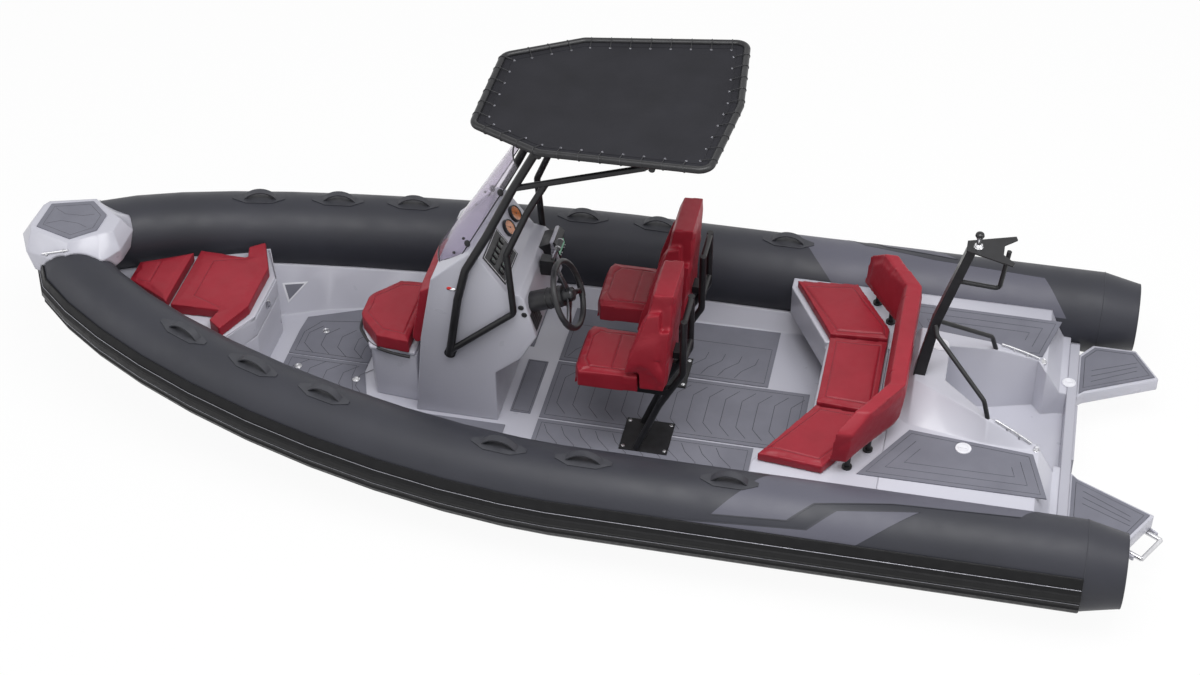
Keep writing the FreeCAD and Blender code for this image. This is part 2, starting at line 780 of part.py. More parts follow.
def canopy_rim(radius):
    port = canopy_ring(0, 0)
    start = ((port[0][0] + port[-1][0]) / 2, 0.0, port[0][2])
    half = [start] + port[:3] + [(canopy_tip_x, 0.0, canopy_aft_z)]
    side = bent_tube(half, radius, 60.0)
    return side.fuse(port_and_starboard(side)).removeSplitter()


def cloth_solid():
    low = [vec(*p) for p in canopy_ring(canopy_inset, canopy_cloth / 2)]
    port, tip, starboard = low[:3], low[3], low[4:]
    panels = ([port[0], port[1], starboard[1], starboard[2]],
              [port[1], port[2], starboard[0], starboard[1]],
              [port[2], tip, starboard[0]])
    faces = [Part.Face(Part.makePolygon(panel + [panel[0]])) for panel in panels]
    return fused([face.extrude(vec(0, 0, canopy_cloth)) for face in faces])


bows = []
for x, z in ((128.0, 1895.0), (-420.0, 1925.0)):
    share = (canopy_mid_x - x) / (canopy_mid_x - canopy_aft_x)
    half = canopy_mid_half + (canopy_aft_half - canopy_mid_half) * share
    bows.append(rod((x, -half, z - 14), (x, half, z - 14), brace_tube))
canopy_frame = fused([canopy_rim(canopy_tube)] + bows)
canopy = cloth_solid().cut(canopy_rim(canopy_tube + seat_clearance))
canopy = max(canopy.cut(bows).Solids, key=lambda solid: solid.Volume)
main_knots = ((672, 449), (613, 813), (565, 1008), (443, 1245), (306, 1541), (182, 1782), (128, 1880))
main_tube = bent_tube([(x, frame_half, z) for x, z in main_knots], frame_tube * 0.9, 120.0)
foot_plate = rod((672, console_half, 449), (672, frame_half, 449), 30)
lower_bar = bent_tube([(668, frame_half, 470), (321, frame_half, 774), (347, frame_half, 1144),
                       (229, frame_half, 1429), (139, frame_half, 1600)], frame_tube * 0.72, 40.0)
brace = rod((284, frame_half, 1560), (-349, frame_half, 1769), brace_tube)
brace_tip = rod((-349, frame_half, 1769), (-420, frame_half, 1925), brace_tube)
truss = fused([main_tube, lower_bar, brace, brace_tip, foot_plate]).cut(canopy_frame)
truss = max(truss.Solids, key=lambda solid: solid.Volume)


print("helm seats")


def helm_seat(middle):
    half = helm_width / 2
    outline = [(helm_back_x, -half * 0.92), (helm_back_x, half * 0.92), (helm_front_x - 20, half * 0.96),
               (helm_front_x, half * 0.7), (helm_front_x, -half * 0.7), (helm_front_x - 20, -half * 0.96)]
    cushion = slab([(x, middle + y) for x, y in outline], helm_top - helm_cushion, helm_top)
    lip = side_plate(((helm_front_x, helm_top - 20), (helm_front_x + 14, helm_top - 150),
                      (helm_front_x - 60, helm_top - helm_cushion)), middle - half * 0.62, middle + half * 0.62)
    return cushion.fuse(lip).removeSplitter()


def helm_back(middle):
    half = helm_width / 2
    profile = ((-350, helm_top - 95), (-335, helm_top + 40), (-400, 760), (-425, helm_back_top),
               (-520, helm_back_top + 8), (-500, 800), (-470, helm_top - 95))
    core = side_plate(profile, middle - half * 0.95, middle + half * 0.95)
    wing_profile = ((-300, helm_top + 20), (-315, 730), (-425, 800), (-430, helm_top + 10))
    wings = [side_plate(wing_profile, middle + side * half * 0.95 - (50 if side > 0 else 0),
                        middle + side * half * 0.95 + (0 if side > 0 else 50)) for side in (1, -1)]
    back = core.fuse(wings).removeSplitter()
    waist = prism([(-560, middle - half, 1100), (-560, middle - half * 0.62, 1100),
                   (-560, middle - half, 800)], (300, 0, 0))
    other = prism([(-560, middle + half, 1100), (-560, middle + half * 0.62, 1100),
                   (-560, middle + half, 800)], (300, 0, 0))
    return back.cut([waist, other])


helm_sides = (("port", helm_spacing), ("starboard", -helm_spacing))
helm_cushions = {side: helm_seat(middle) for side, middle in helm_sides}
helm_backs = {side: helm_back(middle).cut(helm_cushions[side]) for side, middle in helm_sides}


def helm_frame(middle):
    plate = box(-486, -232, middle - 122, middle + 122, 0, base_plate)
    posts = []
    for y in (middle - 105, middle + 105):
        posts.append(bent_tube([(-320, y, base_plate - 4), (-440, y, 330), (-560, y, 560), (-560, y, 900)],
                               post_tube * 0.8, 60.0))
    cross_bar = rod((-560, middle - 105, 620), (-560, middle + 105, 620), post_tube * 0.7)
    top_bar = rod((-560, middle - 105, 885), (-560, middle + 105, 885), post_tube * 0.7)
    back_mount = box(-560, -440, middle - 40, middle + 40, 600, 640)
    arms = [box(-490, helm_front_x - 60, y - 14, y + 14, helm_top - helm_cushion - 42, helm_top - helm_cushion)
            for y in (middle - 105, middle + 105)]
    seat_plate = box(helm_back_x - 60, helm_back_x + 20, middle - 119, middle + 119,
                     helm_top - helm_cushion - 42, helm_top - helm_cushion - 6)
    return fused([plate] + posts + [cross_bar, top_bar, back_mount] + arms + [seat_plate])


helm_frames = {side: helm_frame(middle).cut(helm_backs[side]).cut(helm_cushions[side])
               for side, middle in helm_sides}


print("deck foam")
edge = foam_gap


def floor_edge(x):
    return liner_half_width(x)[0] - liner_thickness - edge


aft_pad = slab([(pad_aft_x, seam_half + 8), (pad_aft_x, floor_edge(pad_aft_x)), (232, floor_edge(232)),
                (232, seam_half + 8)], 0, foam)
middle_pad = slab(both_sides([(-1150, seam_half - 8), (232, seam_half - 8)]), 0, foam)
name_pad = slab(both_sides([(284, 215), (394, 215)]), 0, foam)
fore_pad = slab([(392, floor_edge(392)), (392, 330), (900, 330), (1180, 245), (1245, 60), (1245, 0),
                 (pad_front_x, 0), (pad_front_x, 200), (1690, 320), (1400, floor_edge(1400)),
                 (1000, floor_edge(1000)), (700, floor_edge(700))], 0, foam)
deck_pads = [aft_pad, port_and_starboard(aft_pad), middle_pad, name_pad]
seam_cut = box(1240, pad_front_x + 10, -5, 5, -1, foam + 1)
deck_pads += [fore_pad.cut(seam_cut), port_and_starboard(fore_pad.cut(seam_cut))]
post_room = Part.makeCompound([box(-488, -230, m - 124, m + 124, -1, foam + 20)
                               for m in (helm_spacing, -helm_spacing)])
deck_pads = [pad.cut(post_room) for pad in deck_pads]
deck_foam = Part.makeCompound([solid for pad in deck_pads for solid in pad.Solids])
aft_deck_pad = slab([(-1713, 325), (-1492, 698), (-2416, 690), (-2332, 384)], side_deck, side_deck + foam)
stern_pads = Part.makeCompound([pad.cut(stern_deck)
                                for pad in (aft_deck_pad, port_and_starboard(aft_deck_pad))])


print("swim platforms and ladder")
platform_plan = [(transom_x, 290), (-2565, 330), (platform_aft_x, 524), (-2826, 735),
                 (-2600, 735), (transom_x, 640)]
platform_room = platform_top - platform_pad
swim_platform = slab(platform_plan, platform_room - platform_thick, platform_room)
swim_pad = slab([(transom_x - 12, 318), (-2572, 350), (platform_aft_x + 22, 530), (-2822, 712),
                 (-2610, 712), (transom_x - 12, 620)], platform_room, platform_top)
edge_start = vec(platform_aft_x, 524, 0)
edge_end = vec(-2826, 735, 0)
along_edge = (edge_end - edge_start).normalize()
inboard = vec(along_edge.y, -along_edge.x, 0)
platform_low = platform_room - platform_thick
ladder_pivot = (edge_start + edge_end) * 0.5 - inboard * ladder_offset
ladder_pivot.z = platform_low - ladder_tube - 7


def on_ladder(side, reach):
    return ladder_pivot + along_edge * side * ladder_span / 2 + inboard * reach


rails = []
for side in (1, -1):
    rails.append(rod(on_ladder(side, -ladder_grip), on_ladder(side, ladder_reach), ladder_tube))
for step in range(4):
    reach = -ladder_grip + step * (ladder_reach + ladder_grip) / 3
    rails.append(rod(on_ladder(-1, reach), on_ladder(1, reach), ladder_tube * 0.95))
for side in (1, -1):
    rails.append(rod(on_ladder(side, 0), on_ladder(side, 0) + along_edge * side * (ladder_tube + 6 - turning_gap), 8))
ladder = fused(rails)
lugs = []
for side in (1, -1):
    start = on_ladder(side, 0) + along_edge * side * (ladder_tube + 6)
    corners = [start + inboard * reach + vec(0, 0, height)
               for reach, height in ((ladder_offset + 40, ladder_tube + 7), (ladder_offset + 40, 2),
                                     (0, -18), (-14, -14), (-14, ladder_tube), (ladder_offset, ladder_tube + 7))]
    lug = Part.Face(Part.makePolygon(corners + [corners[0]])).extrude(along_edge * side * 8)
    lugs.append(lug)
swim_platform_port = fused([swim_platform] + lugs)


print("tow mast")
mast = side_plate(((mast_foot_x + 25, 462), (mast_foot_x - 35, 462), (-1800, 820), (-1930, mast_top),
                   (-1885, mast_top), (-1752, 820)), -30, 30)
top_plate = slab([(-1880, 40), (-1880, -40), (-2110, -120), (-2118, -95), (-2060, -40), (-2060, 40),
                  (-2118, 95), (-2110, 120)], mast_top, mast_top + 8)
lower_bar_mast = bent_tube([(-1850, 0, 1075), (-2060, 0, 1060), (-2085, 0, mast_top + 2)], 12, 25.0)
leg = bent_tube([(-1775, 24, 800), (-1790, 60, 760), (-2060, 255, 545), (-2088, 276, plateau - 16)], 12, 40.0)
tow_mast = fused([mast, top_plate, lower_bar_mast]).cut(stern_deck)
legs = Part.makeCompound([side.cut([stern_deck, tow_mast]) for side in (leg, port_and_starboard(leg))])
tow_pin = fused([Part.makeCylinder(10, tow_pin_height, vec(-1935, 0, mast_top + 8)),
                 Part.makeCone(24, 12, 16, vec(-1935, 0, mast_top + 8)),
                 Part.makeSphere(18, vec(-1935, 0, mast_top + 8 + tow_pin_height - 8))])


print("saving")
os.makedirs("parts", exist_ok=True)
save("hull", hull)
save("transom", transom)
save("cockpit_liner", liner)
save("stern_deck", stern_deck)
save("stern_bench", stern_bench)
save("tube_port", tube_port)
save("tube_starboard", port_and_starboard(tube_port))
save("rub_strake_port", strake_port)
save("rub_strake_starboard", port_and_starboard(strake_port))
save("handles_port", handles_port)
save("handles_starboard", port_and_starboard(handles_port))
save("bow_eye", bow_eye)
save("bow_step", bow_step)
save("bow_step_pad", bow_pad)
save("bow_locker", bow_locker)
save("bow_locker_lid", bow_lid)
save("bow_cushion_fore", fore_cushion)
save("bow_cushion_aft", aft_cushion)
save("deck_pads", deck_foam)
save("stern_pads", stern_pads)
save("console", console)
save("switch_panel", switch_panel)
save("gauges", gauges)
save("screen", screen)
save("windshield", windshield)
save("steering_hub", steering_hub)
save("steering_wheel", steering_wheel)
save("throttle", throttle)
save("console_seat_box", console_seat_box)
save("console_seat_lid", lid_seat)
save("console_seat_cushion", front_cushion_solid)
save("console_seat_back", front_back)
save("ttop_frame_port", truss)
save("ttop_frame_starboard", port_and_starboard(truss))
save("canopy_frame", canopy_frame)
save("canopy_cloth", canopy)
for side in ("port", "starboard"):
    save("helm_frame_" + side, helm_frames[side])
    save("helm_cushion_" + side, helm_cushions[side])
    save("helm_back_" + side, helm_backs[side])
save("sofa_lid", sofa_lid)
save("sofa_cushion_middle", sofa_middle)
save("sofa_cushion_port", wing_cushion)
save("sofa_cushion_starboard", port_and_starboard(wing_cushion))
save("sofa_back", sofa_back)
save("sofa_struts", sofa_struts)
save("swim_platform_port", swim_platform_port)
save("swim_platform_starboard", port_and_starboard(swim_platform))
save("swim_pads", Part.makeCompound([swim_pad, port_and_starboard(swim_pad)]))
save("boarding_ladder", ladder)
save("tow_mast", tow_mast)
save("tow_mast_legs", legs)
save("tow_pin", tow_pin)
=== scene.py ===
import bpy
import bmesh
import json
import math
import numpy as np
from mathutils import Matrix, Vector
from mathutils.bvhtree import BVHTree

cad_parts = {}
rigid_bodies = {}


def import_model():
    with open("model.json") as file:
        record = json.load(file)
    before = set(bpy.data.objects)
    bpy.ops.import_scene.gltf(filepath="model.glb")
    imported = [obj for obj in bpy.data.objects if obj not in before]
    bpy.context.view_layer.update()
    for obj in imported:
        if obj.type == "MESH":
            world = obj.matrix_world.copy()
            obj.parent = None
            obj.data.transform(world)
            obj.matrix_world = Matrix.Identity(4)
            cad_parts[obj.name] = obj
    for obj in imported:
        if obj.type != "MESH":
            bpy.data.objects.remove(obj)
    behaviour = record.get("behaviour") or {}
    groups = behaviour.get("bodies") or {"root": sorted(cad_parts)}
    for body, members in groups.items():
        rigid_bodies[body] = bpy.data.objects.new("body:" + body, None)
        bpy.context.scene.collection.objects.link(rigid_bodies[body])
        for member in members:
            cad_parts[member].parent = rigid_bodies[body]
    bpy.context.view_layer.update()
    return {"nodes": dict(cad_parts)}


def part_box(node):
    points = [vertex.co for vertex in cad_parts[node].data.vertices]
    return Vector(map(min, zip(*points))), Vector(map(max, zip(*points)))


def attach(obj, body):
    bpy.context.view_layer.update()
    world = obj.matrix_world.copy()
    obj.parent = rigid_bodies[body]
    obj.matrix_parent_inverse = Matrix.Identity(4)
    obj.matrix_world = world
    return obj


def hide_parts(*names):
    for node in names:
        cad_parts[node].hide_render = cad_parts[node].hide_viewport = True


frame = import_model()
nodes = frame["nodes"]


# small helpers for modelling

def deselectAll():
    if bpy.context.object and bpy.context.object.mode != "OBJECT":
        bpy.ops.object.mode_set(mode="OBJECT")
    for thing in bpy.context.view_layer.objects:
        thing.select_set(False)


def only(piece):
    deselectAll()
    piece.select_set(True)
    bpy.context.view_layer.objects.active = piece


def outline(name, corners):
    # a flat face whose corners are moved into place, left in edit mode
    deselectAll()
    bpy.ops.mesh.primitive_circle_add(vertices=len(corners), radius=1, fill_type="NGON")
    piece = bpy.context.object
    piece.name = name
    bpy.ops.object.mode_set(mode="EDIT")
    bpy.ops.mesh.select_mode(type="VERT")
    for index, corner in enumerate(corners):
        bpy.ops.mesh.select_all(action="DESELECT")
        mesh = bmesh.from_edit_mesh(piece.data)
        mesh.verts.ensure_lookup_table()
        mesh.verts[index].select_set(True)
        mesh.select_flush_mode()
        bmesh.update_edit_mesh(piece.data)
        bpy.ops.transform.translate(value=Vector(corner) - mesh.verts[index].co)
    return piece


def editedAll(action, **settings):
    # in edit mode, one mesh action on every part, then back to object mode
    bpy.ops.mesh.select_all(action="SELECT")
    action(**settings)
    bpy.ops.object.mode_set(mode="OBJECT")


def outwards():
    # in edit mode, faces all point out
    editedAll(bpy.ops.mesh.normals_make_consistent, inside=False)


def plate(name, corners, push):
    # an outline pulled out by the push
    piece = outline(name, corners)
    bpy.ops.mesh.select_all(action="SELECT")
    bpy.ops.mesh.extrude_region_move(TRANSFORM_OT_translate={"value": push})
    outwards()
    return piece


def mirrored(corners):
    return list(corners) + [(x, -y) for x, y in reversed(corners) if abs(y) > 1e-6]


def insetLine(corners, inset):
    # a closed outline moved inwards
    count = len(corners)
    area = sum(corners[i - 1][0] * corners[i][1] - corners[i][0] * corners[i - 1][1] for i in range(count))
    inset = inset if area > 0 else -inset
    moved = []
    for i in range(count):
        before, here, after = Vector(corners[i - 1]), Vector(corners[i]), Vector(corners[(i + 1) % count])
        one, two = (here - before).normalized(), (after - here).normalized()
        sideOne, sideTwo = Vector((-one.y, one.x)), Vector((-two.y, two.x))
        middle = (sideOne + sideTwo).normalized()
        moved.append(here + middle * inset / max(0.35, middle.dot(sideOne)))
    return moved


def changed(piece, kind, **settings):
    step = piece.modifiers.new(kind.lower(), kind)
    for key, value in settings.items():
        setattr(step, key, value)
    return step


def applied(piece, kind, **settings):
    only(piece)
    bpy.ops.object.modifier_apply(modifier=changed(piece, kind, **settings).name)
    return piece


def rounded(piece, width, segments):
    # soft edges wherever faces meet at more than 30 degrees
    return applied(piece, "BEVEL", width=width, segments=segments, limit_method="ANGLE",
                   angle_limit=math.radians(30))


def placed(name, squash=(1, 1, 1)):
    # names a new primitive and puts its place and size in its mesh
    piece = bpy.context.object
    piece.name = name
    piece.scale = squash
    bpy.ops.object.transform_apply(location=True, rotation=True, scale=True)
    return piece


def turnTo(axis):
    return Vector(axis).to_track_quat("Z", "Y").to_euler()


def rod(name, start, end, radius, sides=24, tip=None):
    deselectAll()
    start, end = Vector(start), Vector(end)
    bpy.ops.mesh.primitive_cone_add(vertices=sides, radius1=radius, radius2=radius if tip is None else tip,
                                    depth=(end - start).length, location=(start + end) / 2,
                                    rotation=turnTo(end - start))
    return placed(name)


def ringPiece(name, centre, axis, radius, thick, sides, thickSides):
    deselectAll()
    bpy.ops.mesh.primitive_torus_add(major_radius=radius, minor_radius=thick, major_segments=sides,
                                     minor_segments=thickSides, location=centre, rotation=turnTo(axis))
    return placed(name)


def ball(name, centre, radius, squash):
    deselectAll()
    bpy.ops.mesh.primitive_uv_sphere_add(segments=24, ring_count=14, radius=radius, location=centre)
    return placed(name, squash)


def tube(name, points, radius, closed=False, sides=3, straight=False):
    # a bent tube along its points: smooth, or in straight runs
    deselectAll()
    bpy.ops.curve.primitive_nurbs_path_add()
    piece = bpy.context.object
    piece.name = name
    curve = piece.data
    curve.splines.clear()
    line = curve.splines.new("POLY" if straight else "NURBS")
    line.points.add(len(points) - 1)
    for point, place in zip(line.points, points):
        point.co = (*place, 1)
    if not straight:
        line.order_u = 3
        line.use_endpoint_u = not closed
    line.use_cyclic_u = closed
    curve.bevel_depth = radius
    curve.bevel_resolution = sides
    curve.use_fill_caps = not closed
    curve.resolution_u = 8
    bpy.ops.object.convert(target="MESH")
    return bpy.context.object


def joined(name, pieces):
    deselectAll()
    for piece in pieces:
        piece.select_set(True)
    bpy.context.view_layer.objects.active = pieces[0]
    bpy.ops.object.join()
    pieces[0].name = name
    return pieces[0]


def copied(piece, name, move=(0, 0, 0), mirror=False):
    only(piece)
    bpy.ops.object.duplicate()
    copy = bpy.context.object
    copy.name = name
    copy.location = move
    if mirror:
        copy.scale = (1, -1, 1)
    bpy.ops.object.transform_apply(location=True, rotation=True, scale=True)
    if mirror:
        bpy.ops.object.mode_set(mode="EDIT")
        editedAll(bpy.ops.mesh.flip_normals)
    return copy


def copyOfNode(node, name):
    # a merged copy of a CAD node, to be worked on
    deselectAll()
    copy = nodes[node].copy()
    copy.data = nodes[node].data.copy()
    for key in list(copy.keys()):
        del copy[key]
    copy.parent = None
    copy.modifiers.clear()
    bpy.context.scene.collection.objects.link(copy)
    copy.name = name
    copy.data.materials.clear()
    only(copy)
    bpy.ops.object.mode_set(mode="EDIT")
    editedAll(bpy.ops.mesh.remove_doubles, threshold=0.0001)
    return copy


def dressed(piece, material, body="boat", smooth=35):
    only(piece)
    piece.data.materials.clear()
    piece.data.materials.append(material)
    if smooth:
        bpy.ops.object.shade_smooth_by_angle(angle=math.radians(smooth))
    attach(piece, body)
    return piece


def fitted(name, pieces, material, body="boat", smooth=35):
    return dressed(joined(name, pieces), material, body, smooth)


def twinOf(piece, name, material, smooth):
    # the starboard copy of a piece on the port side
    return dressed(copied(piece, name, mirror=True), material, smooth=smooth)


# materials

def startMaterial(name, color, roughness, **sockets):
    material = bpy.data.materials.new(name)
    material.use_nodes = True
    tree = material.node_tree
    shader = tree.nodes["Principled BSDF"]
    shader.inputs["Base Color"].default_value = (*color, 1)
    shader.inputs["Roughness"].default_value = roughness
    for key, value in sockets.items():
        shader.inputs[key.replace("_", " ")].default_value = value
    return material, tree, shader


def addNode(tree, kind, **settings):
    node = tree.nodes.new("ShaderNode" + kind)
    for key, value in settings.items():
        if key in node.inputs:
            node.inputs[key].default_value = value
        else:
            setattr(node, key, value)
    return node


def objectPlace(tree):
    return addNode(tree, "TexCoord").outputs["Object"]


def pattern(tree, kind, scale, detail=None, output="Fac", **settings):
    # a noise or cell pattern on the piece's own coordinates
    node = addNode(tree, kind, **settings)
    node.inputs["Scale"].default_value = scale
    if detail is not None:
        node.inputs["Detail"].default_value = detail
    tree.links.new(objectPlace(tree), node.inputs["Vector"])
    return node.outputs[output]


def colourRamp(tree, shader, value, stops):
    ramp = addNode(tree, "ValToRGB")
    for element, (position, color) in zip(ramp.color_ramp.elements, stops):
        element.position = position
        element.color = (*color, 1)
    tree.links.new(value, ramp.inputs["Fac"])
    tree.links.new(ramp.outputs["Color"], shader.inputs["Base Color"])
    return ramp


def vary(tree, shader, low, high, scale, detail=4):
    # slow change of colour over the surface
    return colourRamp(tree, shader, pattern(tree, "TexNoise", scale, detail), ((0.32, low), (0.68, high)))


def roughen(tree, shader, low, high, scale):
    span = addNode(tree, "MapRange")
    for name, value in (("From Min", 0.3), ("From Max", 0.7), ("To Min", low), ("To Max", high)):
        span.inputs[name].default_value = value
    tree.links.new(pattern(tree, "TexNoise", scale, 6), span.inputs["Value"])
    tree.links.new(span.outputs["Result"], shader.inputs["Roughness"])


def bump(tree, shader, height, strength, distance, below=None):
    lift = addNode(tree, "Bump", Strength=strength, Distance=distance)
    tree.links.new(height, lift.inputs["Height"])
    if below:
        tree.links.new(below, lift.inputs["Normal"])
    tree.links.new(lift.outputs["Normal"], shader.inputs["Normal"])
    return lift.outputs["Normal"]


def grain(tree, shader, scale, strength, distance, detail, below=None):
    return bump(tree, shader, pattern(tree, "TexNoise", scale, detail), strength, distance, below)


def softEdges(tree, radius):
    # a rounded look on sharp moulded edges
    return addNode(tree, "Bevel", samples=4, Radius=radius).outputs["Normal"]


def fabricTube(name, low, high):
    material, tree, shader = startMaterial(name, low, 0.46, Specular_IOR_Level=0.32)
    vary(tree, shader, low, high, 2.3)
    roughen(tree, shader, 0.42, 0.54, 9.0)
    grain(tree, shader, 1400.0, 0.25, 0.0006, 2)
    return material


def gelcoat(name, low, high, edge):
    roughness = 0.30
    material, tree, shader = startMaterial(name, low, roughness, Coat_Weight=0.25, Coat_Roughness=0.15)
    vary(tree, shader, low, high, 1.2, 2)
    roughen(tree, shader, roughness * 0.9, roughness * 1.3, 8.0)
    soft = softEdges(tree, edge)
    grain(tree, shader, 9.0, 0.02, 0.002, 1, soft)
    return material


def foamMaterial(name, low, high):
    material, tree, shader = startMaterial(name, low, 0.78, Specular_IOR_Level=0.3)
    vary(tree, shader, low, high, 6.0, 8)
    bump(tree, shader, pattern(tree, "TexVoronoi", 420.0, output="Distance"), 0.5, 0.0012)
    return material


def plasticMaterial(name, low, high, roughness, edge=0.002, grainScale=700.0, gloss=0.4):
    material, tree, shader = startMaterial(name, low, roughness, Specular_IOR_Level=gloss)
    vary(tree, shader, low, high, 20.0)
    roughen(tree, shader, roughness * 0.8, roughness * 1.25, 40.0)
    grain(tree, shader, grainScale, 0.12, 0.0008, 3, softEdges(tree, edge))
    return material


def metalMaterial(name, color, roughness):
    material, tree, shader = startMaterial(name, color, roughness, Metallic=1.0)
    roughen(tree, shader, roughness * 0.7, roughness * 1.6, 30.0)
    grain(tree, shader, 300.0, 0.05, 0.0005, 2, softEdges(tree, 0.0015))
    return material


print("materials")
# the side gelcoat is a darker copy of the deck gelcoat: painted shade on the upright hull and transom faces
gelcoatShadedSide = gelcoat("gelcoatShadedSide", (0.34, 0.34, 0.39), (0.36, 0.36, 0.41), 0.010)
gelcoatDeck = gelcoat("gelcoatDeck", (0.42, 0.42, 0.48), (0.47, 0.47, 0.53), 0.012)
tubeFabric = fabricTube("tubeFabric", (0.023, 0.024, 0.031), (0.029, 0.030, 0.039))
tubePanel = fabricTube("tubePanel", (0.082, 0.082, 0.106), (0.094, 0.094, 0.120))
tubeBand = fabricTube("tubeBand", (0.030, 0.031, 0.040), (0.038, 0.039, 0.048))
handleRubber = plasticMaterial("handleRubber", (0.028, 0.029, 0.036), (0.038, 0.039, 0.047), 0.55)
strakeRubber = plasticMaterial("strakeRubber", (0.004, 0.004, 0.005), (0.007, 0.007, 0.008), 0.42,
                               edge=0.004, gloss=0.22)
silverLine = metalMaterial("silverLine", (0.30, 0.30, 0.33), 0.42)
deckFoam = foamMaterial("deckFoam", (0.155, 0.157, 0.188), (0.180, 0.182, 0.216))
# the stern foam is a darker copy of the deck foam: painted shade on the stern and swim pads
sternFoam = foamMaterial("sternFoam", (0.135, 0.137, 0.166), (0.156, 0.158, 0.190))
grooveLine = plasticMaterial("grooveLine", (0.018, 0.018, 0.021), (0.028, 0.028, 0.032), 0.7)
seamLine = plasticMaterial("seamLine", (0.62, 0.62, 0.66), (0.72, 0.72, 0.76), 0.6)
blackFrame = plasticMaterial("blackFrame", (0.008, 0.008, 0.009), (0.013, 0.013, 0.015), 0.36,
                             edge=0.003, grainScale=900.0, gloss=0.35)
blackPlastic = plasticMaterial("blackPlastic", (0.014, 0.014, 0.016), (0.024, 0.024, 0.027), 0.4, 0.002)
blackGloss = plasticMaterial("blackGloss", (0.010, 0.010, 0.011), (0.014, 0.014, 0.016), 0.12, 0.002)
chrome = metalMaterial("chrome", (0.80, 0.80, 0.82), 0.12)
stainless = metalMaterial("stainless", (0.62, 0.62, 0.64), 0.24)
darkMetal = metalMaterial("darkMetal", (0.10, 0.10, 0.11), 0.30)


def vinylMaterial():
    material, tree, shader = startMaterial("redVinyl", (0.27, 0.014, 0.026), 0.45, Specular_IOR_Level=0.3)
    vary(tree, shader, (0.226, 0.010, 0.020), (0.258, 0.013, 0.025), 7.0)
    roughen(tree, shader, 0.36, 0.52, 25.0)
    leather = pattern(tree, "TexVoronoi", 330.0, output="Distance", feature="DISTANCE_TO_EDGE")
    first = bump(tree, shader, leather, 0.22, 0.0012)
    grain(tree, shader, 45.0, 0.10, 0.004, 4, first)
    return material


def threadMaterial():
    # dashed stitches along the seam, from the strip's own UV map; the near-black dashes between the stitches
    # are painted shade in the stitch holes
    material, tree, shader = startMaterial("threadRed", (0.16, 0.018, 0.026), 0.55)
    uv = addNode(tree, "UVMap")
    turn = addNode(tree, "Mapping", Scale=(40.0, 1.0, 1.0))
    wave = addNode(tree, "TexWave", Scale=1.0)
    tree.links.new(uv.outputs["UV"], turn.inputs["Vector"])
    tree.links.new(turn.outputs["Vector"], wave.inputs["Vector"])
    colourRamp(tree, shader, wave.outputs["Fac"], ((0.25, (0.05, 0.008, 0.012)), (0.45, (0.24, 0.03, 0.045))))
    return material


def canvasMaterial():
    material, tree, shader = startMaterial("canopyCanvas", (0.022, 0.022, 0.026), 0.85, Sheen_Weight=0.05,
                                           Sheen_Roughness=0.5, Specular_IOR_Level=0.15)
    vary(tree, shader, (0.010, 0.010, 0.013), (0.014, 0.014, 0.018), 5.0, 8)
    cross = addNode(tree, "Math", operation="MULTIPLY")
    for socket, direction in zip(cross.inputs, ("X", "Y")):
        thread = pattern(tree, "TexWave", 260.0, bands_direction=direction)
        tree.links.new(thread, socket)
    first = bump(tree, shader, cross.outputs["Value"], 0.4, 0.0008)
    grain(tree, shader, 6.0, 0.15, 0.01, 3, first)
    return material


def screenMaterial():
    material, tree, shader = startMaterial("tintedScreen", (0.72, 0.68, 0.76), 0.05, IOR=1.12,
                                           Transmission_Weight=0.92, Specular_IOR_Level=0.6)
    vary(tree, shader, (0.68, 0.64, 0.73), (0.75, 0.71, 0.79), 1.5)
    grain(tree, shader, 3.0, 0.02, 0.01, 2)
    return material


def glowMaterial(name, low, high, strength):
    material, tree, shader = startMaterial(name, low, 0.2, Emission_Strength=strength, Coat_Weight=0.5)
    ramp = vary(tree, shader, low, high, 24.0)
    tree.links.new(ramp.outputs["Color"], shader.inputs["Emission Color"])
    return material


redVinyl = vinylMaterial()
threadRed = threadMaterial()
canopyCanvas = canvasMaterial()
tintedScreen = screenMaterial()
gaugeFace = glowMaterial("gaugeFace", (0.42, 0.13, 0.04), (0.55, 0.20, 0.07), 0.12)
displayGlow = glowMaterial("displayGlow", (0.16, 0.36, 0.26), (0.30, 0.56, 0.40), 0.2)
lensRed = plasticMaterial("lensRed", (0.45, 0.015, 0.015), (0.55, 0.02, 0.02), 0.1)
lensGreen = plasticMaterial("lensGreen", (0.015, 0.30, 0.10), (0.02, 0.38, 0.13), 0.1)
capPlastic = plasticMaterial("capPlastic", (0.62, 0.62, 0.66), (0.70, 0.70, 0.74), 0.35)

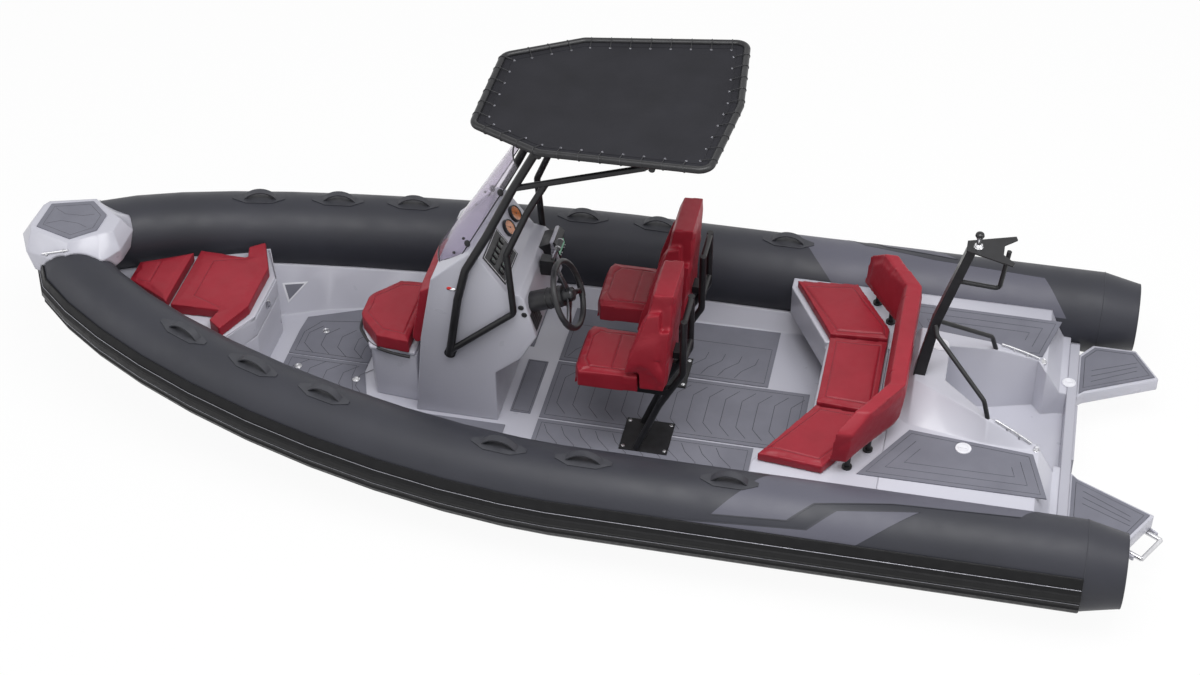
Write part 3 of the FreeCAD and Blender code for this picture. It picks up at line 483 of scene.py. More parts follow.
nodeFinish = {
    # hull and transom take the darker gelcoat copy, painted shade
    gelcoatShadedSide: ["hull", "transom"],
    gelcoatDeck: ["cockpit_liner", "stern_deck", "stern_bench", "bow_step", "bow_locker", "bow_locker_lid",
                  "console", "console_seat_box", "console_seat_lid", "sofa_lid", "swim_platform_port",
                  "swim_platform_starboard"],
    tubeFabric: ["tube_port", "tube_starboard"],
    handleRubber: ["handles_port", "handles_starboard"],
    strakeRubber: ["rub_strake_port", "rub_strake_starboard"],
    deckFoam: ["deck_pads", "bow_step_pad"],
    sternFoam: ["stern_pads", "swim_pads"],
    redVinyl: ["bow_cushion_fore", "bow_cushion_aft", "console_seat_cushion", "console_seat_back",
               "helm_cushion_port", "helm_cushion_starboard", "helm_back_port", "helm_back_starboard",
               "sofa_cushion_middle", "sofa_cushion_port", "sofa_cushion_starboard", "sofa_back"],
    blackFrame: ["ttop_frame_port", "ttop_frame_starboard", "canopy_frame", "helm_frame_port",
                 "helm_frame_starboard", "sofa_struts", "tow_mast", "tow_mast_legs"],
    canopyCanvas: ["canopy_cloth"],
    tintedScreen: ["windshield"],
    blackPlastic: ["switch_panel", "gauges", "screen", "steering_hub", "steering_wheel", "throttle"],
    stainless: ["bow_eye", "boarding_ladder", "tow_pin"],
}
for finish, names in nodeFinish.items():
    for name in names:
        mesh = nodes[name].data
        mesh.materials.clear()
        mesh.materials.append(finish)
        for face in mesh.polygons:
            face.material_index = 0
            face.use_smooth = True
        changed(nodes[name], "WELD", merge_threshold=0.00005)
        if finish == gelcoatDeck:
            # moulded edges are rounded
            changed(nodes[name], "DECIMATE", decimate_type="DISSOLVE", angle_limit=math.radians(1.0))
            changed(nodes[name], "BEVEL", width=0.006, segments=2, limit_method="ANGLE",
                    angle_limit=math.radians(11), harden_normals=True)
        else:
            changed(nodes[name], "EDGE_SPLIT", split_angle=math.radians(28))


# camera, light and floor

print("camera and studio")
studio = {
    "cameraPlace": (-1.9790, 8.7429, 7.9432),
    "cameraTurn": (192.431, 50.219, -0.489),
    "lens": 66.647,
    "worldDiffuse": 0.50,
    "keyPower": 470.0,
    "fillPower": 90.0,
    "floorWhite": 0.94,
}
turnZ, turnX, roll = (math.radians(a) for a in studio["cameraTurn"])
cameraData = bpy.data.cameras.new("photoCamera")
cameraData.lens = studio["lens"]
cameraData.sensor_width = 36.0
cameraData.clip_end = 200.0
photoCamera = bpy.data.objects.new("photoCamera", cameraData)
photoCamera.matrix_world = (Matrix.Translation(studio["cameraPlace"]) @ Matrix.Rotation(turnZ, 4, "Z")
                            @ Matrix.Rotation(turnX, 4, "X") @ Matrix.Rotation(roll, 4, "Z"))
bpy.context.scene.collection.objects.link(photoCamera)
bpy.context.scene.camera = photoCamera
bpy.context.scene.view_settings.view_transform = "Standard"


def lamp(name, place, target, size, power):
    data = bpy.data.lights.new(name, "AREA")
    data.shape = "RECTANGLE"
    data.size, data.size_y = size
    data.energy = power
    light = bpy.data.objects.new(name, data)
    light.location = place
    light.rotation_euler = (Vector(target) - Vector(place)).to_track_quat("-Z", "Y").to_euler()
    bpy.context.scene.collection.objects.link(light)
    return light


lamp("keyLight", (-1.5, 2.0, 7.0), (0, 0, 0), (6.0, 4.0), studio["keyPower"])
lamp("sternLight", (-7.0, 1.5, 4.5), (-1, 0, 0.5), (3.0, 4.0), studio["fillPower"])
lamp("bowLight", (6.5, 2.5, 4.5), (1, 0, 0.5), (3.0, 4.0), studio["fillPower"])


def shownRays(tree):
    # 1 for what the camera sees, straight or in gloss and glass
    rays = addNode(tree, "LightPath")
    total = rays.outputs["Is Camera Ray"]
    for kind in ("Is Glossy Ray", "Is Transmission Ray"):
        either = addNode(tree, "Math", operation="MAXIMUM")
        tree.links.new(total, either.inputs[0])
        tree.links.new(rays.outputs[kind], either.inputs[1])
        total = either.outputs[0]
    return total


world = bpy.data.worlds.new("studioWorld")
bpy.context.scene.world = world
world.use_nodes = True
worldTree = world.node_tree
strength = addNode(worldTree, "MapRange")
strength.inputs["To Min"].default_value = studio["worldDiffuse"]
strength.inputs["To Max"].default_value = 1.0
worldTree.links.new(shownRays(worldTree), strength.inputs["Value"])
back = worldTree.nodes["Background"]
back.inputs["Color"].default_value = (1, 1, 1, 1)
worldTree.links.new(strength.outputs["Result"], back.inputs["Strength"])

deselectAll()
bpy.ops.mesh.primitive_plane_add(size=60, location=(0, 0, 0))
floor = bpy.context.object
floor.name = "studioFloor"
floorPaint, floorTree, floorShader = startMaterial("floorPaint", (0.82, 0.82, 0.82), 0.9)
floorShare = addNode(floorTree, "Math", operation="MULTIPLY")
floorShare.inputs[1].default_value = studio["floorWhite"]
paper = addNode(floorTree, "Emission", Strength=1.0)
blend = addNode(floorTree, "MixShader")
for start, end in ((shownRays(floorTree), floorShare.inputs[0]),
                   (floorShare.outputs[0], blend.inputs["Fac"]),
                   (floorShader.outputs[0], blend.inputs[1]),
                   (paper.outputs[0], blend.inputs[2]),
                   (blend.outputs[0], floorTree.nodes["Material Output"].inputs["Surface"])):
    floorTree.links.new(start, end)
floor.data.materials.append(floorPaint)


# cushions

def stuffed(piece, settings):
    # remeshed, blown up a little by cloth pressure, then held to a cap
    voxel = settings["voxel"]
    applied(piece, "REMESH", mode="VOXEL", voxel_size=voxel)
    start = [v.co.copy() for v in piece.data.vertices]
    normals = [v.normal.copy() for v in piece.data.vertices]
    for vertex, normal in zip(piece.data.vertices, normals):
        vertex.co -= normal * settings["shrink"]
    applied(piece, "SMOOTH", factor=0.5, iterations=settings.get("soften", 6))
    only(piece)
    cloth = piece.modifiers.new("cloth", "CLOTH")
    cloth.settings.use_pressure = True
    cloth.settings.uniform_pressure_force = settings["pressure"]
    cloth.settings.effector_weights.gravity = 0
    cloth.settings.quality = 4
    cloth.collision_settings.use_collision = False
    cloth.point_cache.frame_start = 1
    cloth.point_cache.frame_end = 20
    scene = bpy.context.scene
    for step in range(1, 21):
        scene.frame_set(step)
    bpy.ops.object.modifier_apply(modifier=cloth.name)
    scene.frame_set(1)
    cap = settings["cap"]
    floorHeight = min(v.z for v in start)
    for vertex, home in zip(piece.data.vertices, start):
        moved = vertex.co - home
        if moved.length > cap:
            moved *= cap / moved.length
        vertex.co = home + moved
        if settings.get("rests", True):
            vertex.co.z = max(vertex.co.z, floorHeight)
    applied(piece, "SUBSURF", levels=1, render_levels=1)
    applied(piece, "SMOOTH", factor=0.4, iterations=2)
    return piece


seamPlan = {"depth": 0.004, "width": 0.005, "stitch": 0.012, "thread": 0.0011, "proud": 0.0006}


def sewn(piece, name, seams, view):
    # presses channels into the face that looks along the view, and lays the thread in them
    axis = Vector(view).normalized()
    runs = []
    for points, closed in seams:
        spots = [Vector(p) for p in points]
        pairs = list(zip(spots, spots[1:] + ([spots[0]] if closed else [])))
        runs.append([(a - axis * a.dot(axis), b - axis * b.dot(axis)) for a, b in pairs])
    count = len(piece.data.vertices)
    places = np.empty(count * 3)
    normals = np.empty(count * 3)
    piece.data.vertices.foreach_get("co", places)
    piece.data.vertex_normals.foreach_get("vector", normals)
    places = places.reshape(-1, 3)
    normals = normals.reshape(-1, 3)
    along = np.array(axis)
    spots = places - np.outer(places @ along, along)
    near = np.ones(count)
    for a, b in (pair for run in runs for pair in run):
        step = np.array(b - a)
        share = np.clip((spots - np.array(a)) @ step / max(step @ step, 1e-9), 0, 1)
        near = np.minimum(near, np.linalg.norm(spots - np.array(a) - np.outer(share, step), axis=1))
    press = seamPlan["depth"] * np.exp(-(near / seamPlan["width"]) ** 2) * (normals @ along > 0.25)
    piece.data.vertices.foreach_set("co", (places - normals * press[:, None]).ravel())
    piece.data.update()
    tree = BVHTree.FromPolygons([v.co.copy() for v in piece.data.vertices],
                                [tuple(p.vertices) for p in piece.data.polygons])
    threads = []
    for number, run in enumerate(runs):
        points = []
        for a, b in run:
            steps = max(2, int((b - a).length / seamPlan["stitch"]))
            for k in range(steps + (1 if (a, b) == run[-1] else 0)):
                spot = a.lerp(b, k / steps)
                hit = tree.ray_cast(spot + axis * 5, -axis)
                if hit[0]:
                    points.append(hit[0] + axis * seamPlan["proud"])
        if len(points) > 3:
            threads.append(tube(name + "Thread" + str(number), points, seamPlan["thread"], sides=1,
                                straight=True))
    return threads


def pieceName(node):
    words = node.split("_")
    return words[0] + "".join(word.capitalize() for word in words[1:])


def cushion(node, body, settings):
    print("cushion", node)
    name = pieceName(node)
    piece = settings["form"](name + "Soft") if settings.get("form") else copyOfNode(node, name + "Soft")
    stuffed(piece, settings)
    threads = sewn(piece, name[0].upper() + name[1:], settings["seams"], settings["view"])
    dressed(piece, redVinyl, body, smooth=60)
    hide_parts(node)
    for thread in threads:
        dressed(thread, threadRed, body, smooth=0)


cushionCommon = {"voxel": 0.008, "shrink": 0.005, "cap": 0.009, "pressure": 4.0, "fill": 0.85,
                 "view": (0, 0, 1)}


seamHeight = 0.6     # any height: the seams are cast along the view


def seam(corners, closed=False):
    # a seam on a seat, seen from above
    return [(x, y, seamHeight) for x, y in corners], closed


def backSeam(start, end):
    return [start, end], False


cushionPlans = {
    "bow_cushion_fore": ("bow_lid", {"seams": [seam([(2.500, -0.078), (2.411, -0.088), (2.411, 0.088),
                                                     (2.480, 0.080)])]}),
    "bow_cushion_aft": ("bow_lid", {"seams": [seam(mirrored([(1.968, 0.215), (2.133, 0.153)]))],
                                    "voxel": 0.009}),
    "console_seat_cushion": ("console_seat_lid", {"seams": [seam(mirrored([(1.190, 0.070), (1.075, 0.190),
                                                                           (0.955, 0.205)]), True)]}),
    "console_seat_back": ("boat", {"seams": [backSeam((0.9, -0.18, 0.56), (0.9, -0.18, 0.80)),
                                             backSeam((0.9, 0.18, 0.56), (0.9, 0.18, 0.80)),
                                             backSeam((0.9, -0.22, 0.66), (0.9, 0.22, 0.66))],
                                   "view": (1, 0, 0.2), "rests": False, "cap": 0.007}),
    "sofa_cushion_middle": ("sofa_lid", {"seams": [seam(mirrored([(-1.500, 0.235), (-1.270, 0.222)]), True)]}),
    "sofa_cushion_port": ("boat", {"seams": [seam([(-1.262, 0.318), (-1.045, 0.650), (-1.300, 0.690),
                                                   (-1.500, 0.395), (-1.510, 0.335)], True)]}),
    "sofa_back": ("boat", {"seams": [backSeam((-1.6, -0.30, 0.5), (-1.6, -0.30, 0.78)),
                                     backSeam((-1.6, 0.30, 0.5), (-1.6, 0.30, 0.78)),
                                     backSeam((-1.6, -0.38, 0.70), (-1.6, 0.38, 0.70))],
                           "view": (1, 0, 0.25), "rests": False, "voxel": 0.010}),
}
for node, (body, settings) in cushionPlans.items():
    cushion(node, body, {**cushionCommon, **settings})

helmY = 0.270
helmSeatSeams = [seam([(-0.310, helmY - 0.135), (-0.310, helmY + 0.135), (-0.085, helmY + 0.140),
                       (-0.055, helmY + 0.09), (-0.055, helmY - 0.09), (-0.085, helmY - 0.140)], True),
                 seam([(-0.200, helmY - 0.138), (-0.200, helmY + 0.138)])]
helmBackSeams = [([(-0.4, helmY - 0.10, 0.72), (-0.4, helmY - 0.085, 1.12), (-0.4, helmY + 0.085, 1.12),
                   (-0.4, helmY + 0.10, 0.72)], True),
                 backSeam((-0.4, helmY - 0.095, 0.90), (-0.4, helmY + 0.095, 0.90))]


def sidePiece(name, profile, low, high):
    return plate(name, [(x, low, z) for x, z in profile], (0, high - low, 0))


def helmBackForm(name):
    # a narrow upper part on a wider lower one, with a wing at each side that reaches forward
    upperHalf, lowerHalf, wing = 0.150, 0.190, 0.050
    parts = [sidePiece(name, ((-0.368, 0.900), (-0.412, 1.165), (-0.515, 1.171), (-0.500, 0.900)),
                       helmY - upperHalf, helmY + upperHalf),
             sidePiece("lowerBack", ((-0.352, 0.566), (-0.338, 0.700), (-0.375, 0.930), (-0.500, 0.960),
                                     (-0.478, 0.566)), helmY - lowerHalf, helmY + lowerHalf)]
    for low in (helmY - lowerHalf, helmY + lowerHalf - wing):
        parts.append(sidePiece("wing", ((-0.268, 0.670), (-0.292, 0.780), (-0.385, 1.045), (-0.450, 1.065),
                                        (-0.450, 0.670)), low, low + wing))
    return joined(name, parts)


cushion("helm_cushion_port", "boat", {**cushionCommon, "seams": helmSeatSeams, "rests": False})
cushion("helm_back_port", "boat", {**cushionCommon, "seams": helmBackSeams, "view": (1, 0, 0.1), "rests": False,
                                   "form": helmBackForm})


def freed(twin):
    # a mirrored copy starts with nothing that its port piece was told
    for key in list(twin.keys()):
        del twin[key]
    twin.parent = None
    return twin


for thread in list(bpy.context.scene.objects):
    if thread.type == "MESH" and thread.name.startswith(("HelmCushionPort", "HelmBackPort", "SofaCushionPort")):
        twin = freed(copied(thread, thread.name.replace("Port", "Starboard"), mirror=True))
        dressed(twin, threadRed, smooth=0)
for node in ("helm_cushion", "helm_back", "sofa_cushion"):
    name = pieceName(node)
    twin = freed(copied(bpy.data.objects[name + "PortSoft"], name + "StarboardSoft", mirror=True))
    dressed(twin, redVinyl, smooth=60)
    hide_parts(node + "_starboard")

# canopy

print("canopy")
canopyPlan = {
    "corners": [(0.493, 0.308), (0.123, 0.497), (-0.690, 0.554), (-0.745, 0.0)],
    "heights": [(-0.745, 2.035), (-0.690, 2.035), (0.123, 1.983), (0.493, 1.968)],
    "bow": (-0.42, 0.548),          # a frame bow, and the run from bow to bow, along x
    "inset": 0.010,
    "seam": 0.050,
    "sag": 0.007,
    "thick": 0.0016,
    "flat": (1.03, 1.16),
}
lacePlan = {"loops": 38, "eye": 0.012, "lean": 0.016, "wrap": 0.0195, "cord": 0.0019,
            "turns": (100, 60, 15, -30, -75, -120, -165)}


def canopyHeight(x):
    spots = canopyPlan["heights"]
    for (x0, z0), (x1, z1) in zip(spots, spots[1:]):
        if x <= x1:
            return z0 + (z1 - z0) * max(0.0, (x - x0) / (x1 - x0))
    return spots[-1][1]


def clothHeight(x, y):
    # sags between the bows and towards the middle
    bow, run = canopyPlan["bow"]
    edge = min(1.0, max(0.0, 1 - abs(y) / 0.5))
    span = abs(math.sin(math.pi * (x - bow) / run))
    return canopyHeight(x) - 0.002 - canopyPlan["sag"] * edge * span


def edgesOf(line):
    return list(zip(line, line[1:] + line[:1]))


def outOf(along, spot, inside):
    # level and square to a run, away from what is inside
    out = Vector((along.y, -along.x))
    return -out if out.dot(spot - inside) < 0 else out


rimLine = insetLine(mirrored(canopyPlan["corners"]), 0.0)
clothLine = insetLine(mirrored(canopyPlan["corners"]), canopyPlan["inset"])
seamPlace = insetLine(mirrored(canopyPlan["corners"]), canopyPlan["seam"])
deselectAll()
bpy.ops.mesh.primitive_grid_add(x_subdivisions=64, y_subdivisions=60, size=1.3, location=(-0.13, 0, 2.0))
canopySheet = bpy.context.object
canopySheet.name = "canopySheet"
bpy.ops.object.transform_apply(location=True)
bpy.ops.object.mode_set(mode="EDIT")
for a, b in edgesOf(clothLine):
    if (b - a).length < 0.001:
        continue
    outward = outOf((b - a).normalized(), a, Vector((-0.13, 0)))
    bpy.ops.mesh.select_all(action="SELECT")
    bpy.ops.mesh.bisect(plane_co=(a.x, a.y, 2), plane_no=(outward.x, outward.y, 0), clear_outer=True)
bpy.ops.object.mode_set(mode="OBJECT")
for vertex in canopySheet.data.vertices:
    vertex.co.z = clothHeight(vertex.co.x, vertex.co.y)
applied(canopySheet, "SOLIDIFY", thickness=canopyPlan["thick"], offset=0)
dressed(canopySheet, canopyCanvas, smooth=60)
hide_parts("canopy_cloth")


def alongRim(share, line):
    # a point at that share of the closed line, and its direction there
    left = share * sum((b - a).length for a, b in edgesOf(line))
    for a, b in edgesOf(line):
        if left <= (b - a).length:
            return a.lerp(b, left / max((b - a).length, 1e-9)), (b - a).normalized()
        left -= (b - a).length
    return line[0], (line[1] - line[0]).normalized()


hemPoints = []
for a, b in edgesOf(seamPlace):
    steps = max(1, int((b - a).length / 0.05))
    spots = [a.lerp(b, i / steps) for i in range(steps)]
    hemPoints += [(p.x, p.y, clothHeight(p.x, p.y) + 0.0012) for p in spots]
hem = tube("canopyHem", hemPoints, 0.0016, closed=True, straight=True)
dressed(hem, canopyCanvas)
lacing, eyelets = [], []
for number in range(lacePlan["loops"]):
    # each loop comes up through its eyelet, goes round the frame tube and back under the cloth
    share = (number + 0.5) / lacePlan["loops"]
    spot, along = alongRim(share, seamPlace)
    out = outOf(along, alongRim(share, rimLine)[0], spot)
    rim = spot + out * canopyPlan["seam"]
    height = canopyHeight(rim.x)
    eye = spot - out * lacePlan["eye"]
    eyeHeight = clothHeight(eye.x, eye.y)
    eyelets.append(ringPiece("eyelet" + str(number), (eye.x, eye.y, eyeHeight + 0.001), (0, 0, 1),
                             0.0046, 0.0013, 20, 8))
    lean = along * lacePlan["lean"]
    path = [(eye.x, eye.y, eyeHeight - 0.002), (eye.x, eye.y, eyeHeight + 0.003)]
    first, last = lacePlan["turns"][0], lacePlan["turns"][-1]
    for degrees in lacePlan["turns"]:
        turn = math.radians(degrees)
        reach = rim + out * lacePlan["wrap"] * math.cos(turn) + lean * (first - degrees) / (first - last)
        path.append((reach.x, reach.y, height + lacePlan["wrap"] * math.sin(turn)))
    path.append((eye.x + lean.x, eye.y + lean.y, eyeHeight - 0.007))
    lacing.append(tube("lace" + str(number), path, lacePlan["cord"], sides=1))
fitted("canopyLacing", lacing, blackPlastic, smooth=60)
fitted("canopyEyelets", eyelets, silverLine, smooth=60)

# tubes: glued panels, silver lines and seams

print("tube trim")
tubePlan = {
    "radius": 0.222, "bowRadius": 0.190, "offset": 0.976, "height": 0.301,
    "curveStart": -0.035, "bowX": 2.895, "bowRise": 0.305, "riseStart": -0.144, "risePower": 1.97,
    "planX": 1.58, "planY": 1.69, "aftX": -2.620,
}


def tubeRing(turn):
    # centre, direction and radius of the tube at a turn from 0 to 90 degrees
    t = tubePlan

    def centre(angle):
        a = math.radians(max(0.0, min(90.0, angle)))
        x = t["curveStart"] + (t["bowX"] - t["curveStart"]) * math.sin(a) ** (2 / t["planX"])
        y = t["offset"] * max(math.cos(a), 0.0) ** (2 / t["planY"])
        share = max(0.0, (x - t["riseStart"]) / (t["bowX"] - t["riseStart"]))
        return Vector((x, y, t["height"] + t["bowRise"] * share ** t["risePower"]))

    middle = centre(turn)
    share = max(0.0, (middle.x - t["curveStart"]) / (t["bowX"] - t["curveStart"]))
    radius = t["radius"] + (t["bowRadius"] - t["radius"]) * share ** 2
    if turn <= 0:
        return middle, Vector((1, 0, 0)), radius
    if turn >= 90:
        return middle, Vector((0, -1, 0)), radius
    return middle, (centre(turn + 0.5) - centre(turn - 0.5)).normalized(), radius


def onTube(ring, angle, proud):
    middle, along, radius = ring
    outward = -along.cross(Vector((0, 0, 1))).normalized()
    upward = along.cross(outward).normalized()
    if upward.z < 0:
        upward = -upward
    a = math.radians(angle)
    return middle + (outward * math.cos(a) + upward * math.sin(a)) * (radius + proud)


strakeStart = Vector((tubePlan["aftX"] + 0.004, tubePlan["offset"], tubePlan["height"]))
strakeRings = [(strakeStart, Vector((1, 0, 0)), tubePlan["radius"])]
strakeRings += [tubeRing(7.5 * step) for step in list(range(11)) + [12]]
# name, degrees round the tube, height off it, half thickness and finish
strakeLines = (("silverUpper", 13.0, 0.0098, 0.0017, silverLine),
               ("silverLower", -10.0, 0.0098, 0.0017, silverLine),
               ("strakeLip", 27.3, 0.0052, 0.0040, strakeRubber))
for name, angle, proud, thick, finish in strakeLines:
    run = [onTube(ring, angle, proud) for ring in strakeRings]
    line = tube(name + "Port", run, thick, straight=True, sides=2)
    twin = copied(line, name + "Starboard", mirror=True)
    for piece in (line, twin):
        dressed(piece, finish)

# glued panels on the straight part: x and degrees round the tube
panelPlan = {
    "foldStep": 4.0,
    "thick": 0.0012,
    "panelFore": [(-0.843, 42), (-0.905, 60), (-0.972, 79), (-1.060, 112), (-1.200, 156), (-2.440, 156),
                  (-2.300, 100), (-1.700, 91), (-1.323, 74.5), (-1.204, 47.5)],
    "panelAft": [(-0.698, 28.5), (-1.300, 38.5), (-1.433, 67.8), (-1.821, 82.0), (-1.545, 28.5)],
    "panelEdgeFore": [(-0.843, 40.8), (-0.843, 42), (-1.204, 47.5), (-1.323, 74.5), (-1.700, 91), (-2.300, 100),
                      (-2.300, 98.6), (-1.702, 89.6), (-1.330, 73.2), (-1.212, 46.2)],
    "panelEdgeAft": [(-0.560, 26.6), (-0.560, 28.0), (-1.296, 39.8), (-1.428, 69.2), (-1.830, 83.4),
                     (-1.821, 82.0), (-1.437, 67.8), (-1.306, 38.5)],
}


def gluedPanel(name, corners, proud, material):
    # cut flat, then wrapped round the straight part of the tube: corners are x and degrees
    radius = tubePlan["radius"] + proud
    piece = outline(name, [(x, math.radians(a) * radius, 0) for x, a in corners])
    step = panelPlan["foldStep"]
    angle = math.ceil(min(a for _, a in corners) / step) * step
    while angle < max(a for _, a in corners):
        bpy.ops.mesh.select_all(action="SELECT")
        bpy.ops.mesh.bisect(plane_co=(0, math.radians(angle) * radius, 0), plane_no=(0, 1, 0))
        angle += step
    bpy.ops.object.mode_set(mode="OBJECT")
    for vertex in piece.data.vertices:
        a = vertex.co.y / radius
        vertex.co.y = tubePlan["offset"] + radius * math.cos(a)
        vertex.co.z = tubePlan["height"] + radius * math.sin(a)
    only(piece)
    bpy.ops.object.mode_set(mode="EDIT")
    outwards()
    if piece.data.polygons[0].normal.dot(Vector((0, 1, 1))) < 0:
        piece.data.flip_normals()
    applied(piece, "SOLIDIFY", thickness=panelPlan["thick"], offset=1)
    for side, made in (("Port", piece), ("Starboard", copied(piece, name + "Starboard", mirror=True))):
        made.name = name + side
        dressed(made, material, smooth=50)


for name in ("panelFore", "panelAft"):
    gluedPanel(name, panelPlan[name], 0.0006, tubePanel)
for name in ("panelEdgeFore", "panelEdgeAft"):
    gluedPanel(name, panelPlan[name], 0.0010, tubeBand)
for name, x, radius in (("coneSeam", -2.620, 0.2222), ("coneRim", -2.811, 0.1815)):
    place = (x, tubePlan["offset"], tubePlan["height"])
    ring = ringPiece(name + "Port", place, (1, 0, 0), radius, 0.0022, 96, 6)
    twin = copied(ring, name + "Starboard", (0, -2 * tubePlan["offset"], 0))
    for piece in (ring, twin):
        dressed(piece, tubeBand)

# foam decking: routed lines

print("deck lines")


def routed(name, lines, z, width=0.0019):
    # dark routed lines, let into the foam so that they only just show
    runs = [tube(name + str(i), [(x, y, z - 0.0006) for x, y in line], width, closed=closed, sides=0,
                 straight=True) for i, (line, closed) in enumerate(lines)]
    return fitted(name, runs, grooveLine, smooth=0)


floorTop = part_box("deck_pads")[1].z
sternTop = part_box("stern_pads")[1].z
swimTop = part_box("swim_pads")[1].z
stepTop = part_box("bow_step_pad")[1].z
sternPad = [(-1.713, 0.325), (-1.492, 0.698), (-2.416, 0.690), (-2.332, 0.384)]
swimPad = [(-2.542, 0.318), (-2.572, 0.350), (-2.928, 0.530), (-2.822, 0.712), (-2.610, 0.712), (-2.542, 0.620)]
stepPad = mirrored([(2.671, 0.069), (2.785, 0.171), (3.000, 0.102)])


def waves(shape, start, step, count):
    # the same open line again and again, a step further aft
    return [([(start - step * i + x, y) for x, y in shape], False) for i in range(count)]


middleWave = [(-0.062, 0.182), (0, 0.105), (0, -0.105), (-0.062, -0.182)]
routed("middleRouting", [([(-1.120, 0.208), (-1.120, -0.208), (0.208, -0.208), (0.208, 0.208)], True)]
       + waves(middleWave, 0.165, 0.088, 15), floorTop)
routed("nameRouting", [([(0.294, 0.205), (0.294, -0.205), (0.384, -0.205), (0.384, 0.205)], True)], floorTop)
sideLines = waves([(0, 0.285), (-0.0285, 0.345), (-0.095, 0.415), (-0.1045, 0.470)], 0.190, 0.092, 11)
sideLines.append(([(0.208, 0.272), (-0.895, 0.272), (-0.895, 0.560), (0.208, 0.560)], True))
foreLines = waves([(-0.07, 0.030), (0, 0.100), (0, 0.190), (-0.06, 0.260)], 1.640, 0.095, 5)
foreLines.append(([(1.670, 0.030), (1.670, 0.190), (1.600, 0.300), (1.020, 0.400), (1.020, 0.370),
                   (1.240, 0.300), (1.300, 0.120), (1.300, 0.030)], True))
sternLines = [(insetLine(sternPad, 0.024), True)]
sternLines += [(insetLine(sternPad, inset), False) for inset in (0.075, 0.125)]
swimLines = [(insetLine(swimPad, 0.020), True)]
swimLines += [([(-2.600, 0.425 + y), (-2.835, 0.560 + y * 0.75)], False) for y in (0, 0.045, 0.090)]
for name, lines, height in (("sideRouting", sideLines, floorTop), ("foreRouting", foreLines, floorTop),
                            ("sternRouting", sternLines, sternTop), ("swimRouting", swimLines, swimTop)):
    twinOf(routed(name + "Port", lines, height), name + "Starboard", grooveLine, smooth=0)
stepLines = [(insetLine(stepPad, 0.028), True)]
stepLines += [([(x, side * y) for x, y in ((2.735, 0.060), (2.790, 0.035), (2.890, 0.030), (2.960, 0.070))],
               False) for side in (1, -1)]
routed("stepRouting", stepLines, stepTop, 0.0015)

# helm: wheel, gauges, switches, display, throttle

print("helm details")
helmPlan = {
    "wheel": (0.062, 0.215, 0.928), "lean": 22.0, "rim": 0.172,
    "spoke": ((0.030, -0.022), (0.030, 0.022), (0.100, 0.0125), (0.157, 0.0155), (0.157, -0.0155),
              (0.100, -0.0125)),
    "grip": (-0.20, -0.10, 0.0, 0.10, 0.20),
    "dash": (-0.8064, 0.0, 0.5914), "dashLow": (0.362, 0.957), "dashHigh": (0.505, 1.152),
    "gauges": ((0.445, -0.080), (0.445, -0.205)), "gaugeRadius": 0.046, "gaugeProud": 0.014,
    "switchStart": (0.410, 0.045), "switchStep": (0.042, 0.043),
}
wheelCentre = Vector(helmPlan["wheel"])
wheelLean = math.radians(helmPlan["lean"])
column = Vector((-math.cos(wheelLean), 0, math.sin(wheelLean)))
wheelUp = Vector((math.sin(wheelLean), 0, math.cos(wheelLean)))
across = Vector((0, 1, 0))
spokeParts, blackParts = [], []
for number, degrees in enumerate((90, 210, 330)):
    turn = math.radians(degrees)
    reach = wheelUp * math.sin(turn) + across * math.cos(turn)
    side = column.cross(reach)
    corners = [wheelCentre + column * 0.012 + reach * far + side * half for far, half in helmPlan["spoke"]]
    spokeParts.append(rounded(plate("spoke" + str(number), corners, column * -0.011), 0.003, 2))
    grip = [wheelCentre + (wheelUp * math.sin(turn + a) + across * math.cos(turn + a)) * helmPlan["rim"]
            for a in helmPlan["grip"]]
    blackParts.append(tube("wheelGrip" + str(number), grip, 0.0172, sides=5))
spokeParts.append(ringPiece("hubTrim", wheelCentre + column * 0.024, column, 0.0335, 0.0028, 48, 8))
fitted("wheelSpokes", spokeParts, darkMetal, body="steering_wheel")
hubCap = rod("wheelCap", wheelCentre + column * 0.020, wheelCentre + column * 0.031, 0.031, 48, 0.022)
blackParts.append(rounded(hubCap, 0.003, 3))
fitted("wheelGrips", blackParts, blackPlastic, body="steering_wheel", smooth=50)
hubRings = [ringPiece("cowlRing" + str(i), wheelCentre - column * (0.048 + 0.030 * i), column, 0.0545,
                      0.0022, 48, 8) for i in range(3)]
fitted("cowlRings", hubRings, blackGloss)

dash = Vector(helmPlan["dash"])
dashUp = across.cross(dash)


def dashPoint(x, y, proud):
    (lowX, lowZ), (highX, highZ) = helmPlan["dashLow"], helmPlan["dashHigh"]
    return Vector((x, y, lowZ + (x - lowX) * (highZ - lowZ) / (highX - lowX))) + dash * proud


def dashRod(name, middle, low, high, radius, sides):
    return rod(name, middle + dash * low, middle + dash * high, radius, sides)


